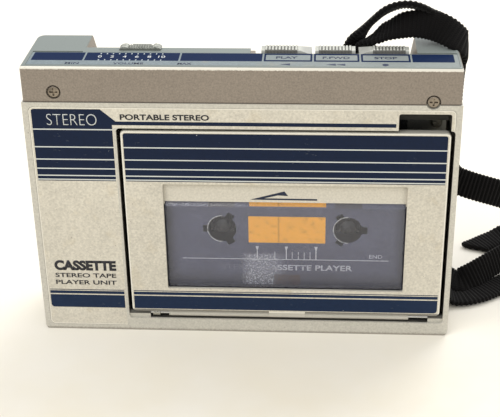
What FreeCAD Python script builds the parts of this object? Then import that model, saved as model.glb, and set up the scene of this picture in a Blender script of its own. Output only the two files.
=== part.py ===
"""Pocket cassette player: case, door, tape deck, keys, battery bay and carrying strap.

Millimetres, +Z up, +X to the right when facing the front.  Depths (Y) are counted from the
front face while the pieces are made; put() then moves every piece so that the origin lies under
the middle of the case, on the surface that it stands on.
"""
import FreeCAD, Part
import math
import os

os.makedirs("parts", exist_ok=True)

# ---------------------------------------------------------------- driving sizes: case
WIDTH = 140.8            # across the front of the lower case
DEPTH = 30.0             # front face to back face
SEAM_Z = 86.4            # height of the lower case, where the cap begins
CAP_HEIGHT = 12.5        # cap, from the seam to its flat top
WALL = 2.0               # moulded walls of the case and cap
FRONT_WALL = 2.5         # front wall of the lower case
CAP_INSET = 0.4          # the cap is this much narrower than the lower case on each side
EDGE = 1.3               # bevel along the cap's top edges
BACK_EDGE = 3.0          # rounded rear corners
SPLIT_Y = 16.0           # joint between the front and the back half of the lower case
TRIM = 0.5               # thickness of the printed metal trim plates
TRIM_MARGIN = 2.0        # case border left visible round the trim plate

# ---------------------------------------------------------------- driving sizes: door
COLUMN = 30.0            # width of the solid column left of the door opening
SIDE_FRAME = 1.8         # case wall right of the door opening
LIP_Z = 4.87             # top of the lip under the door
TOP_STRIP = 8.75         # case strip between the door opening and the seam
DOOR_GAP = 1.25          # gap left and right of the door
DOOR_TOP_GAP = 0.95
DOOR_BOTTOM_GAP = 3.0    # the hinge barrel shows in this gap
DOOR_PLATE = 2.0         # thickness of the door panel behind its trim plate
HINGE_Y = 1.9
HINGE_RISE = 1.55        # hinge axis above the lip
PIN_R = 0.6
PIN_CLEARANCE = 0.05
BARREL_R = 1.2
HINGE_END_R0 = 1.15      # rounded end blocks that hold the hinge pin
HINGE_END_L = 7.4        # length of the left block inside the opening
HINGE_END_R = 5.1        # length of the right block inside the opening
WINDOW_LEFT = 12.9       # window recess, from the door's edges
WINDOW_RIGHT = 12.95
WINDOW_LOW = 9.5
WINDOW_HIGH = 19.1
SILL = 6.8               # silver sill above the clear window
NOTCH_WIDTH = 16.7       # finger notch at the door's upper right corner
NOTCH_HEIGHT = 5.8
NOTCH_INSET = 3.2        # from the right side of the case
NOTCH_DEPTH = 9.0

# ---------------------------------------------------------------- standard parts
CASSETTE_W = 100.4       # compact cassette, laid in with its tape edge up
HUB_PITCH = 42.5
HUB_TO_BASE = 29.0       # cassette: hub centres above its lower long edge
HUB_TO_CAPSTAN = 28.6    # cassette: capstan hole above the hub centres
CAPSTAN_OFFSET = 23.4    # cassette: capstan hole left of the middle
CELL_R = 7.1             # AA cell
CELL_LENGTH = 50.0
HUB_RISE = 34.5          # hub centres above the lip

# ---------------------------------------------------------------- driving sizes: deck
CHASSIS_Y = 16.5
CHASSIS_T = 1.0
GEAR_MODULE = 0.5
PINION_TEETH = 12
IDLER_TEETH = 32
TAKEUP_TEETH = 48
GEAR_T = 2.2
GEAR_Y = 18.2
FLYWHEEL_R = 17.0
FLYWHEEL_Y = 21.0
FLYWHEEL_T = 4.0
MOTOR_R = 11.0
MOTOR_LENGTH = 13.3
PULLEY_R = 3.0
BELT = 0.8
SHAFT_R = 1.0
SPINDLE_R = 2.0
RUN = 0.05               # radial clearance of running fits

# ---------------------------------------------------------------- driving sizes: top controls
CHANNEL_Y = 12.5         # front wall of the key channel
KEY_START = 6.3          # left side of the first key
KEY_WIDTHS = (16.1, 12.9, 16.0)
KEY_NAMES = ("play", "ffwd", "stop")
KEY_GAP = 1.2
KEY_TRAVEL = 3.5
KEY_CREST = 0.95         # key top above the cap
KEY_RIB_PITCH = 1.07
KEY_RIBS = 10
KEY_FLOOR = 9.0          # key channel below the cap's top
STEM_WIDTH = 5.0         # steel tongue under each key
STEM_T = 1.0
SLIDE_FLOOR = 5.5        # volume slider channel below the cap's top
CHANNEL_LEFT = -50.1
CHANNEL_SPLIT = 3.5      # step between the two channel floors
TOWER_SLOPE = 1.3        # the inner side of each rear tower leans by this much
LEDGE_END = 2.7          # ledge of the cap that the volume knob slides along
LEDGE_DEPTH = 4.5
LEDGE_T = 1.5
KNOB_WIDTH = 13.6
KNOB_DEPTH = 3.4
KNOB_RISE = 1.15         # knob's crest above the ledge
NECK_WIDTH = 6.0         # knob's neck, which goes down behind the ledge
NECK_T = 2.2
KNOB_X = -33.2
KNOB_TEETH = 9
KNOB_TO_MIN = 9.2
KNOB_TO_MAX = 8.0

# ---------------------------------------------------------------- worked-out places
HALF = WIDTH / 2
TOP_Z = SEAM_Z + CAP_HEIGHT
BACK = DEPTH
OPEN_L = -HALF + COLUMN
OPEN_R = HALF - SIDE_FRAME
OPEN_TOP = SEAM_Z - TOP_STRIP
DOOR_L = OPEN_L + DOOR_GAP
DOOR_R = OPEN_R - DOOR_GAP
DOOR_B = LIP_Z + DOOR_BOTTOM_GAP
DOOR_T = OPEN_TOP - DOOR_TOP_GAP
HINGE_Z = LIP_Z + HINGE_RISE
MID_X = (DOOR_L + DOOR_R) / 2
HUB_Z = LIP_Z + HUB_RISE
TAKEUP_X = MID_X - HUB_PITCH / 2
SUPPLY_X = MID_X + HUB_PITCH / 2
CAPSTAN_X = MID_X - CAPSTAN_OFFSET
CAPSTAN_Z = HUB_Z + HUB_TO_CAPSTAN
BASE_Z = HUB_Z - HUB_TO_BASE
CHASSIS_BACK = CHASSIS_Y + CHASSIS_T
CHASSIS_TOP = SEAM_Z - 2.4
WINDOW = (DOOR_L + WINDOW_LEFT, DOOR_R - WINDOW_RIGHT, DOOR_B + WINDOW_LOW, DOOR_T - WINDOW_HIGH)
KEY_FLOOR_Z = TOP_Z - KEY_FLOOR
SLIDE_FLOOR_Z = TOP_Z - SLIDE_FLOOR
KEYS_LENGTH = sum(KEY_WIDTHS) + KEY_GAP * 2
CHANNEL_RIGHT = KEY_START + KEYS_LENGTH + 1.0
KEY_BOTTOM_Z = KEY_FLOOR_Z + KEY_TRAVEL + 0.3
STEM_Y = CHANNEL_Y + 2.75
KEY_ROOF_Z = TOP_Z - 4.5
STEM_END_Z = CHASSIS_TOP + 0.1
HEAD_PLATE_TOP = CHASSIS_TOP - 0.6
INNER_L = -HALF + WALL
INNER_R = OPEN_R
INNER_BACK = BACK - WALL
MOTOR_X = -HALF + 15.4
MOTOR_Z = SEAM_Z - 14.4
BAY_TOP = MOTOR_Z - MOTOR_R - 1.6
SCREWS_FRONT = ((-HALF + 10.7, SEAM_Z + 3.5), (HALF - 9.3, SEAM_Z + 1.0))
SCREW_RECESS_R = 2.35
SCREW_RECESS = 1.2
SCREW_HEAD_R = 1.95
SCREW_R = 1.1


# ---------------------------------------------------------------- small helpers
def box(x0, x1, y0, y1, z0, z1):
    return Part.makeBox(x1 - x0, y1 - y0, z1 - z0, FreeCAD.Vector(x0, y0, z0))


def rod_y(x, z, y0, y1, radius):
    return Part.makeCylinder(radius, y1 - y0, FreeCAD.Vector(x, y0, z), FreeCAD.Vector(0, 1, 0))


def rod_x(y, z, x0, x1, radius):
    return Part.makeCylinder(radius, x1 - x0, FreeCAD.Vector(x0, y, z), FreeCAD.Vector(1, 0, 0))


def rod_z(x, y, z0, z1, radius):
    return Part.makeCylinder(radius, z1 - z0, FreeCAD.Vector(x, y, z0))


def ring_y(x, z, y0, y1, outer, inner):
    return rod_y(x, z, y0, y1, outer).cut(rod_y(x, z, y0 - 1, y1 + 1, inner))


def fuse(shapes):
    shapes = list(shapes)
    joined = shapes[0]
    if len(shapes) > 1:
        joined = joined.multiFuse(shapes[1:])
    return joined.removeSplitter()


def cut(shape, tools):
    tools = list(tools)
    return shape.cut(tools) if tools else shape


def prism_x(points, x0, x1):
    """Outline in (y, z), extruded along X."""
    corners = [FreeCAD.Vector(x0, y, z) for y, z in points]
    face = Part.Face(Part.makePolygon(corners + corners[:1]))
    return face.extrude(FreeCAD.Vector(x1 - x0, 0, 0))


def prism_y(points, y0, y1):
    """Outline in (x, z), extruded along Y."""
    corners = [FreeCAD.Vector(x, y0, z) for x, z in points]
    face = Part.Face(Part.makePolygon(corners + corners[:1]))
    return face.extrude(FreeCAD.Vector(0, y1 - y0, 0))


def round_along(shape, axis, radius, keep=lambda p: True):
    """Round the straight edges that run along an axis and whose middle satisfies keep."""
    chosen = []
    for edge in shape.Edges:
        if len(edge.Vertexes) != 2:
            continue
        run = edge.Vertexes[1].Point.sub(edge.Vertexes[0].Point)
        if run.Length < 1e-6:
            continue
        if abs(abs(run.normalize().dot(axis)) - 1) < 1e-6 and keep(edge.CenterOfMass):
            chosen.append(edge)
    return shape.makeFillet(radius, chosen) if chosen else shape


AXIS_X = FreeCAD.Vector(1, 0, 0)
AXIS_Y = FreeCAD.Vector(0, 1, 0)
AXIS_Z = FreeCAD.Vector(0, 0, 1)


def plate(x0, x1, y0, y1, z0, z1, radius):
    """Flat plate facing the front, with rounded corners."""
    return round_along(box(x0, x1, y0, y1, z0, z1), AXIS_Y, radius)


def gear_outline(teeth, turn, backlash=0.12):
    """Involute spur gear outline round the origin; turn is in degrees."""
    pitch = GEAR_MODULE * teeth / 2
    tip = pitch + GEAR_MODULE * 0.95
    root = pitch - GEAR_MODULE * 1.2
    base = pitch * math.cos(math.radians(20))
    inv_20 = math.tan(math.radians(20)) - math.radians(20)
    half_tooth = math.pi / (2 * teeth) - backlash / (2 * pitch)
    start = max(base, root + 0.02)
    radii = [start + (tip - start) * step / 4 for step in range(5)]
    flank = []
    for radius in radii:
        roll = math.acos(min(1.0, base / radius))
        flank.append((radius, half_tooth + inv_20 - (math.tan(roll) - roll)))
    points = []
    for tooth in range(teeth):
        centre = math.radians(turn) + 2 * math.pi * tooth / teeth
        profile = [(root, -flank[0][1])] + [(r, -a) for r, a in flank]
        profile += [(r, a) for r, a in reversed(flank)] + [(root, flank[0][1])]
        points += [(r * math.cos(centre + a), r * math.sin(centre + a)) for r, a in profile]
    return points


def gear(x, z, y0, thickness, teeth, turn):
    outline = [(x + px, z + pz) for px, pz in gear_outline(teeth, turn)]
    return prism_y(outline, y0, y0 + thickness)


def screw(x, z, y_head, reach, direction, head_r=SCREW_HEAD_R, shank_r=SCREW_R):
    """Cross-recessed screw along Y; direction +1 drives it towards the back."""
    head = Part.makeCylinder(head_r, 1.1, FreeCAD.Vector(x, y_head, z), AXIS_Y * direction)
    rim = [e for e in head.Edges if abs(e.CenterOfMass.y - y_head) < 1e-6 and len(e.Vertexes) == 1]
    head = head.makeFillet(0.4, rim)
    shank = Part.makeCylinder(shank_r, reach, FreeCAD.Vector(x, y_head, z), AXIS_Y * direction)
    body = fuse([head, shank])
    depth = 0.7
    low = y_head - 0.1 if direction > 0 else y_head - depth
    high = low + depth + 0.1
    cross = [box(x - 1.3, x + 1.3, low, high, z - 0.3, z + 0.3),
             box(x - 0.3, x + 0.3, low, high, z - 1.3, z + 1.3)]
    return cut(body, cross)


PLACED = {}


def put(name, shape):
    """Move a piece to the part's origin and keep it under its node's name."""
    moved = shape.copy()
    moved.translate(FreeCAD.Vector(0, -DEPTH / 2, 0))
    PLACED[name] = moved


# ---------------------------------------------------------------- case
def trim_outline_tools():
    """Spaces that the printed trim plate leaves free."""
    door = box(OPEN_L - 0.8, HALF, -1, 5, -1, OPEN_TOP + 0.15)
    notch = box(HALF - NOTCH_INSET - NOTCH_WIDTH, HALF - NOTCH_INSET, -1, 5, OPEN_TOP - 0.5,
                OPEN_TOP + NOTCH_HEIGHT)
    return [door, round_along(notch, AXIS_Y, 0.8)]


def screw_recesses():
    return [rod_y(x, z, -1, CAP_INSET + SCREW_RECESS, SCREW_RECESS_R) for x, z in SCREWS_FRONT]


def trim_plate(clearance=0.0):
    left = -HALF + TRIM_MARGIN - clearance
    right = HALF - TRIM_MARGIN + clearance
    body = plate(left, right, 0.0, TRIM, 2.0 - clearance, SEAM_Z - 1.6 + clearance, 1.6)
    return cut(body, trim_outline_tools() + screw_recesses())


def notch_pocket():
    """Depth of the finger notch behind the trim plate, with its sloping back."""
    x0 = HALF - NOTCH_INSET - NOTCH_WIDTH
    x1 = HALF - NOTCH_INSET
    outline = [(-1, OPEN_TOP - 0.5), (-1, OPEN_TOP + NOTCH_HEIGHT), (2.5, OPEN_TOP + NOTCH_HEIGHT),
               (NOTCH_DEPTH, OPEN_TOP + 1.5), (NOTCH_DEPTH, OPEN_TOP - 0.5)]
    return prism_x(outline, x0, x1)


def front_case():
    outer = box(-HALF, HALF, 0, SPLIT_Y, 0, SEAM_Z)
    outer = round_along(outer, AXIS_Y, 1.6, lambda p: p.z < 1)
    cavity = box(INNER_L, INNER_R, FRONT_WALL, SPLIT_Y + 1, WALL, SEAM_Z + 1)
    door_hole = box(OPEN_L, OPEN_R, -1, FRONT_WALL + 1, LIP_Z, OPEN_TOP)
    door_hole = round_along(door_hole, AXIS_Y, 1.2)
    shell = cut(outer, [cavity, door_hole])
    x0 = HALF - NOTCH_INSET - NOTCH_WIDTH
    pocket_walls = box(x0 - 1, INNER_R, FRONT_WALL, NOTCH_DEPTH + 1, OPEN_TOP, SEAM_Z - 1)
    divider = box(OPEN_L - 1.5, OPEN_L, FRONT_WALL, SPLIT_Y, WALL, OPEN_TOP + 4)
    shelf = box(INNER_L, OPEN_L - 1.5, FRONT_WALL, SPLIT_Y, BAY_TOP, BAY_TOP + 1.2)
    motor_room = rod_y(MOTOR_X, MOTOR_Z, 0, SPLIT_Y + 1, MOTOR_R + 0.3)
    hinge_ends = []
    for side_x0, side_x1 in ((OPEN_L - 1, OPEN_L + HINGE_END_L), (OPEN_R - HINGE_END_R, OPEN_R + 0.5)):
        foot_y = HINGE_Y - HINGE_END_R0
        hinge_ends.append(box(side_x0, side_x1, foot_y, FRONT_WALL + 2.5, LIP_Z - 2, HINGE_Z))
        hinge_ends.append(rod_x(HINGE_Y, HINGE_Z, side_x0, side_x1, HINGE_END_R0))
    ears = []
    for x, z in SCREWS_FRONT:
        ears.append(box(x - 3.6, x + 3.6, CAP_INSET + WALL + 0.1, CAP_INSET + WALL + 5, SEAM_Z - 8, z + 3.6))
    posts = [rod_y(x, z, start, CASE_POST_END, CASE_POST_R) for x, z, start in CASE_SCREWS]
    posts += [box(x - 1, x + 1, start, SPLIT_Y, WALL - 0.5, z) for x, z, start in CASE_SCREWS[2:]]
    shell = fuse([shell, pocket_walls, divider, shelf] + hinge_ends + ears + posts)
    tools = [trim_plate(0.1), notch_pocket(), motor_room,
             rod_x(HINGE_Y, HINGE_Z, OPEN_L - 0.4, OPEN_R + 0.4, PIN_R)]
    tools += screw_recesses()
    tools += [rod_y(x, z, 0, 12, SCREW_R) for x, z in SCREWS_FRONT]
    tools += [rod_y(x, z, CASE_POST_END - 6, CASE_POST_END + 1, SCREW_R) for x, z, _ in CASE_SCREWS]
    return cut(shell, tools)


def bay_opening():
    return box(INNER_L + 1.0, OPEN_L - 2.2, INNER_BACK - 1, BACK + 1, 4.5, BAY_TOP - 0.5)


COVER_Y = BACK - 1.5
COVER_Z0 = 2.6
COVER_Z1 = BAY_TOP + 1.4
COVER_R = OPEN_L - 1.2


def battery_cover(clearance=0.0):
    c = clearance
    panel = box(-HALF, COVER_R + c, COVER_Y - c, BACK + c, COVER_Z0 - c, COVER_Z1 + c)
    rails = box(-HALF + 3, COVER_R - 2 + c, COVER_Y - c, COVER_Y + 0.6 + c, COVER_Z0 - 0.8 - c,
                COVER_Z1 + 0.8 + c)
    if clearance:
        return fuse([box(-HALF - 1, COVER_R + c, COVER_Y - c, BACK + 1, COVER_Z0 - c, COVER_Z1 + c),
                     box(-HALF - 1, COVER_R - 2 + c, COVER_Y - c, COVER_Y + 0.6 + c,
                         COVER_Z0 - 0.8 - c, COVER_Z1 + 0.8 + c)])
    cover = fuse([panel, rails])
    grooves = []
    for row in range(7):
        z = (COVER_Z0 + COVER_Z1) / 2 - 6 + 2.0 * row
        grooves.append(box(-HALF + 6, -HALF + 18, BACK - 0.5, BACK + 1, z - 0.4, z + 0.4))
    return cut(cover, grooves)


CHASSIS_POSTS = ((OPEN_L + 4.4, 9.5), (OPEN_R - 4.6, 9.5), (OPEN_L + 4.4, HUB_Z + 14.6),
                 (OPEN_R - 4.6, CHASSIS_TOP - 10.2))
BOARD_POSTS = ((OPEN_L + 17, 15.0), (OPEN_R - 17, 15.0))
BOARD_Y = 24.0
BOARD_T = 1.2
CASE_SCREWS = ((INNER_L + 3.4, SEAM_Z - 4.0, FRONT_WALL - 0.5), (OPEN_R - 12.0, SEAM_Z - 4.0, FRONT_WALL - 0.5),
               (OPEN_R - 12.0, WALL + 2.7, 9.0), (OPEN_L + 12.0, WALL + 2.7, 9.0))
CASE_POST_R = 2.6
CASE_POST_END = 23.0
JACK_Y = 23.2
PHONE_Z = MOTOR_Z + 4.0
POWER_Z = MOTOR_Z - 6.5
PHONE_R = 1.8
POWER_R = 2.75
JACK_SLEEVE = 0.9
JACK_LENGTH = 11.0
LUG_X = MID_X + 24.4     # strap bar on the back, near the top
LUG_Z = SEAM_Z - 5.9
LUG_WIDTH = 14.0
LUG_HEIGHT = 8.0
LUG_DEPTH = 5.2
BAR_R = 0.9
BAR_Y = BACK - 1.6


def back_case():
    outer = box(-HALF, HALF, SPLIT_Y, BACK, 0, SEAM_Z)
    outer = round_along(outer, AXIS_Z, BACK_EDGE, lambda p: p.y > BACK - 1)
    outer = round_along(outer, AXIS_X, 1.6, lambda p: p.y > BACK - 1 and p.z < 1)
    cavity = box(INNER_L, INNER_R, SPLIT_Y - 1, INNER_BACK, WALL, SEAM_Z + 1)
    cavity = round_along(cavity, AXIS_Z, 0.8, lambda p: p.y > INNER_BACK - 1)
    shell = cut(outer, [cavity])
    bosses = [rod_y(x, z, CHASSIS_BACK, INNER_BACK + 0.5, 2.2) for x, z in CHASSIS_POSTS]
    bosses += [rod_y(x, z, BOARD_Y + BOARD_T, INNER_BACK + 0.5, 2.0) for x, z in BOARD_POSTS]
    shell = fuse([shell, lug_pocket(1.2)] + bosses)
    tools = [bay_opening(), battery_cover(0.15)]
    tools += [rod_y(x, z, CHASSIS_BACK - 1, CHASSIS_BACK + 6, 0.8) for x, z in CHASSIS_POSTS]
    tools += [rod_y(x, z, BOARD_Y, INNER_BACK + 0.3, 0.8) for x, z in BOARD_POSTS]
    tools += [rod_y(x, z, BACK - 1.2, BACK + 1, 2.6) for x, z, _ in CASE_SCREWS]
    tools += [rod_y(x, z, INNER_BACK - 1, BACK + 1, SCREW_R) for x, z, _ in CASE_SCREWS]
    tools += [rod_x(JACK_Y, PHONE_Z, -HALF - 1, INNER_L + 1, PHONE_R + JACK_SLEEVE),
              rod_x(JACK_Y, POWER_Z, -HALF - 1, INNER_L + 1, POWER_R + JACK_SLEEVE),
              lug_pocket(0.0), strap_bar()]
    return cut(shell, tools)


def lug_pocket(wall):
    """Recess in the back for the strap bar; wall adds the moulding round it."""
    return box(LUG_X - LUG_WIDTH / 2 - wall, LUG_X + LUG_WIDTH / 2 + wall, BACK - LUG_DEPTH - wall,
               BACK + (0 if wall else 1), LUG_Z - LUG_HEIGHT / 2 - wall, LUG_Z + LUG_HEIGHT / 2 + wall)


def strap_bar():
    """Steel bar across the recess, which the strap is looped round."""
    reach = LUG_WIDTH / 2 + 1.0
    return rod_x(BAR_Y, LUG_Z, LUG_X - reach, LUG_X + reach, BAR_R)


def channel(grow=0.0):
    """Space of the key channel behind the label strip; grow adds the walls round it."""
    front = CHANNEL_Y - grow
    rear = BACK + 5

    def part(x0, x1, floor, lean_left, lean_right):
        outline = [(x0 - grow, floor - grow), (x1 + grow, floor - grow),
                   (x1 + grow + lean_right, TOP_Z + 5), (x0 - grow - lean_left, TOP_Z + 5)]
        return prism_y(outline, front, rear)

    lean = TOWER_SLOPE * (SLIDE_FLOOR + 5) / SLIDE_FLOOR
    slide = part(CHANNEL_LEFT, CHANNEL_SPLIT, SLIDE_FLOOR_Z, lean, 0)
    keys = part(CHANNEL_SPLIT, CHANNEL_RIGHT, KEY_FLOOR_Z, 0, lean)
    return fuse([slide, keys])


CAP_L = -HALF + CAP_INSET
CAP_R = HALF - CAP_INSET
CAP_FRONT = CAP_INSET
CAP_BACK = BACK - CAP_INSET
LABEL_L = CAP_L + 1.9
LABEL_R = CAP_R - 1.1
LABEL_FRONT = CAP_FRONT + 1.1
LABEL_T = 0.4
SLIDE_SLOT_Y = CHANNEL_Y + LEDGE_DEPTH + 0.3 + NECK_T / 2
ARM_TOP_Z = TOP_Z - LEDGE_T + 0.1


def stem_x(index):
    start = KEY_START + sum(KEY_WIDTHS[:index]) + KEY_GAP * index
    return start + KEY_WIDTHS[index] / 2


def top_cap():
    outer = box(CAP_L, CAP_R, CAP_FRONT, CAP_BACK, SEAM_Z, TOP_Z)
    outer = round_along(outer, AXIS_Z, BACK_EDGE, lambda p: p.y > CAP_BACK - 1)
    outer = round_along(outer, AXIS_Z, 0.8, lambda p: p.y < CAP_FRONT + 0.1)
    rim = [e for e in outer.Edges if e.BoundBox.ZMin > TOP_Z - 1e-3]
    outer = outer.makeFillet(EDGE, rim)
    inner = box(CAP_L + WALL, CAP_R - WALL, CAP_FRONT + WALL, CAP_BACK - WALL, SEAM_Z - 1, TOP_Z - WALL)
    inner = inner.cut(channel(WALL))
    cap = cut(outer.cut(channel()), [inner])
    label_bed = box(LABEL_L, LABEL_R, LABEL_FRONT, CHANNEL_Y + 1, TOP_Z - LABEL_T, TOP_Z + 1)
    tools = [label_bed]
    tools += screw_recesses()
    tools += [rod_y(x, z, -1, 5, SCREW_R + 0.1) for x, z in SCREWS_FRONT]
    for index in range(3):
        x = stem_x(index)
        tools.append(box(x - STEM_WIDTH / 2 - 0.7, x + STEM_WIDTH / 2 + 0.7, STEM_Y - 0.3, STEM_Y + STEM_T + 0.3,
                         SEAM_Z, KEY_FLOOR_Z + 1))
    slot_l = KNOB_X - KNOB_TO_MIN - 2.2
    slot_r = KNOB_X + KNOB_TO_MAX + 2.2
    tools.append(box(slot_l, slot_r, SLIDE_SLOT_Y - 1.2, SLIDE_SLOT_Y + 1.2, SEAM_Z, SLIDE_FLOOR_Z + 1))
    return fuse([cut(cap, tools), knob_ledge()])


def knob_ledge():
    """Ledge over the slider channel, level with the label strip and just clear of it."""
    back = CHANNEL_Y + LEDGE_DEPTH
    low = box(CHANNEL_LEFT - 1.6, LEDGE_END, CHANNEL_Y - 0.5, back, TOP_Z - LEDGE_T, TOP_Z - LABEL_T - 0.05)
    high = box(CHANNEL_LEFT - 1.6, LEDGE_END, CHANNEL_Y + 0.1, back, TOP_Z - LEDGE_T, TOP_Z)
    return low.fuse(high)


def label_strip():
    strip = box(LABEL_L + 0.1, LABEL_R - 0.1, LABEL_FRONT + 0.1, CHANNEL_Y, TOP_Z - LABEL_T, TOP_Z)
    return round_along(strip, AXIS_Z, 0.5)


def make_case():
    put("front_case", front_case())
    put("back_case", back_case())
    put("top_cap", top_cap())
    put("trim_plate", trim_plate())
    put("label_strip", label_strip())
    put("battery_cover", battery_cover())
    put("strap_bar", strap_bar())
    screws = [screw(x, z, CAP_FRONT + 0.1, 6.5, 1) for x, z in SCREWS_FRONT]
    screws += [screw(x, z, BACK - 0.1, BACK - CASE_POST_END + 4.0, -1, 2.2) for x, z, _ in CASE_SCREWS]
    put("case_screws", Part.makeCompound(screws))


# ---------------------------------------------------------------- door
BARREL_L = OPEN_L + 14.0
BARREL_RIGHT = OPEN_R - 11.8
HOLDER_GAP = 0.5
HOLDER_T = 1.0
HOLDER_L = MID_X - CASSETTE_W / 2 - HOLDER_GAP
HOLDER_R = MID_X + CASSETTE_W / 2 + HOLDER_GAP
PANEL_BACK = TRIM + DOOR_PLATE
HOLDER_BACK = CHASSIS_Y - 1.4
BEZEL_FRONT = 1.1        # the silver sill stands back from the trim plate
BEZEL_BACK = PANEL_BACK + 0.7
BEZEL_RIM = 0.25
WINDOW_CORNER = 0.6
LENS_FRONT = 0.9
LENS_GAP = 0.05
LENS_EDGE = 0.35
LENS_TOP_BEVEL = 1.6
HOOK_X = DOOR_R - 26.0   # latch hook near the door's upper right corner
HOOK_WIDTH = 5.0
HOOK_REACH = 3.2
CATCH_T = 0.4            # sheet spring that the hook snaps behind


def door_shell():
    x0, x1, z0, z1 = WINDOW
    panel = plate(DOOR_L, DOOR_R, TRIM, PANEL_BACK, DOOR_B, DOOR_T, 1.4)
    rim = plate(DOOR_L + 0.4, DOOR_R - 0.4, PANEL_BACK, PANEL_BACK + 1.5, DOOR_B + 0.4, DOOR_T - 0.4, 1.0)
    rim = rim.cut(plate(DOOR_L + 1.4, DOOR_R - 1.4, 0, 9, DOOR_B + 1.4, DOOR_T - 1.4, 0.6))
    barrel = rod_x(HINGE_Y, HINGE_Z, BARREL_L, BARREL_RIGHT, BARREL_R)
    web = box(BARREL_L, BARREL_RIGHT, HINGE_Y - 0.7, HINGE_Y + 0.6, HINGE_Z, DOOR_B + 0.5)
    thumb = prism_x([(0.35, DOOR_B + 0.1), (0.35, DOOR_B - 1.6), (1.3, DOOR_B - 1.6), (1.9, DOOR_B + 0.1)],
                    MID_X - 5.5, MID_X + 7.0)
    hook = box(HOOK_X, HOOK_X + HOOK_WIDTH, PANEL_BACK, PANEL_BACK + HOOK_REACH, DOOR_T - 4.5, DOOR_T - 0.4)
    shell = fuse([panel, rim, barrel, web, thumb, hook])
    bore = rod_x(HINGE_Y, HINGE_Z, BARREL_L - 1, BARREL_RIGHT + 1, PIN_R + PIN_CLEARANCE)
    catch = rod_x(PANEL_BACK + HOOK_REACH, DOOR_T - 2.2, HOOK_X - 1, HOOK_X + HOOK_WIDTH + 1, 0.8)
    hole = plate(x0, x1, -1, PANEL_BACK + 1, z0, z1, WINDOW_CORNER)
    return cut(shell, [bore, catch, hole])


def door_trim():
    x0, x1, z0, z1 = WINDOW
    body = plate(DOOR_L + 0.15, DOOR_R - 0.15, 0.0, TRIM, DOOR_B + 0.15, DOOR_T - 0.15, 1.3)
    return body.cut(plate(x0, x1, -1, 2, z0, z1, WINDOW_CORNER))


def window_bezel():
    x0, x1, z0, z1 = WINDOW
    lens_top = z1 - SILL
    frame = plate(x0, x1, BEZEL_FRONT, BEZEL_BACK, z0, z1, WINDOW_CORNER)
    lens_hole = box(x0 + BEZEL_RIM, x1 - BEZEL_RIM, 0, BEZEL_BACK + 1, z0 + BEZEL_RIM, lens_top)
    return frame.cut(lens_hole)


def window_lens():
    x0, x1, z0, z1 = WINDOW
    side = BEZEL_RIM + LENS_GAP
    lens_top = z1 - SILL - LENS_GAP
    lens = box(x0 + side, x1 - side, LENS_FRONT, BEZEL_BACK, z0 + side, lens_top)

    def front_edges(shape, upper):
        return [e for e in shape.Edges if abs(e.CenterOfMass.y - LENS_FRONT) < 1e-3
                and (e.CenterOfMass.z > lens_top - 0.1) == upper]

    lens = lens.makeChamfer(LENS_EDGE, front_edges(lens, False))
    return lens.makeChamfer(LENS_TOP_BEVEL, front_edges(lens, True))


def cassette_holder():
    """Tray on the inside of the door: a shelf and two side channels that take the cassette."""
    top = BASE_Z + 55.0
    front = PANEL_BACK
    low_z = BASE_Z - 0.95
    shelf = box(HOLDER_L - HOLDER_T, HOLDER_R + HOLDER_T, front, HOLDER_BACK, low_z, BASE_Z - 0.2)
    pieces = [shelf]
    for wall_x, inward in ((HOLDER_L, 1), (HOLDER_R, -1)):
        low, high = sorted((wall_x, wall_x - inward * HOLDER_T))
        pieces.append(box(low, high, front, HOLDER_BACK, low_z, top))
        low, high = sorted((wall_x - inward * HOLDER_T, wall_x + inward * 3.5))
        pieces.append(box(low, high, HOLDER_BACK - 0.8, HOLDER_BACK, low_z, top))
        low, high = sorted((wall_x - inward * HOLDER_T, wall_x + inward * 6.0))
        pieces.append(box(low, high, front, front + 0.6, low_z, top))
    return fuse(pieces)


def holder_spring():
    """Bowed leaf spring on the window's back that presses the cassette against the deck."""
    z = WINDOW[2] - 3.5
    leaf = []
    for step in range(5):
        leaf.append((PANEL_BACK + 0.75 + 0.9 * math.sin(math.pi * step / 4), z + 0.8 * step))
    back = [(y + 0.3, z_at) for y, z_at in reversed(leaf)]
    return prism_x(leaf + back, MID_X - 16, MID_X + 16)


def door_spring():
    """Torsion spring round the hinge pin: coils in the left slot, one leg on each side."""
    x0 = OPEN_L + 8.2
    coils = []
    for turn in range(5):
        coils.append(Part.makeTorus(PIN_R + 0.45, 0.25, FreeCAD.Vector(x0 + turn * 0.62, HINGE_Y, HINGE_Z),
                                    AXIS_X))
    return fuse([rod_x(HINGE_Y, HINGE_Z, x0, x0 + 2.5, PIN_R + 0.45).cut(
        rod_x(HINGE_Y, HINGE_Z, x0 - 1, x0 + 4, PIN_R + 0.08))] + coils)


def make_door():
    put("door_shell", door_shell())
    put("door_trim", door_trim())
    put("window_bezel", window_bezel())
    put("window_lens", window_lens())
    put("cassette_holder", cassette_holder())
    put("holder_spring", holder_spring())
    put("hinge_pin", rod_x(HINGE_Y, HINGE_Z, OPEN_L - 0.3, OPEN_R + 0.3, PIN_R))
    put("door_spring", door_spring())
    x0 = HOOK_X - 1.5
    x1 = HOOK_X + HOOK_WIDTH + 1.5
    front = PANEL_BACK + HOOK_REACH + 0.45
    back = front + CATCH_T
    top = OPEN_TOP + 3.0
    arm = box(x0, x1, front, back, DOOR_T - 3.4, top)
    foot = box(x0, x1, FRONT_WALL, back, top - CATCH_T, top)
    put("door_catch", fuse([arm, foot]))


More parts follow.
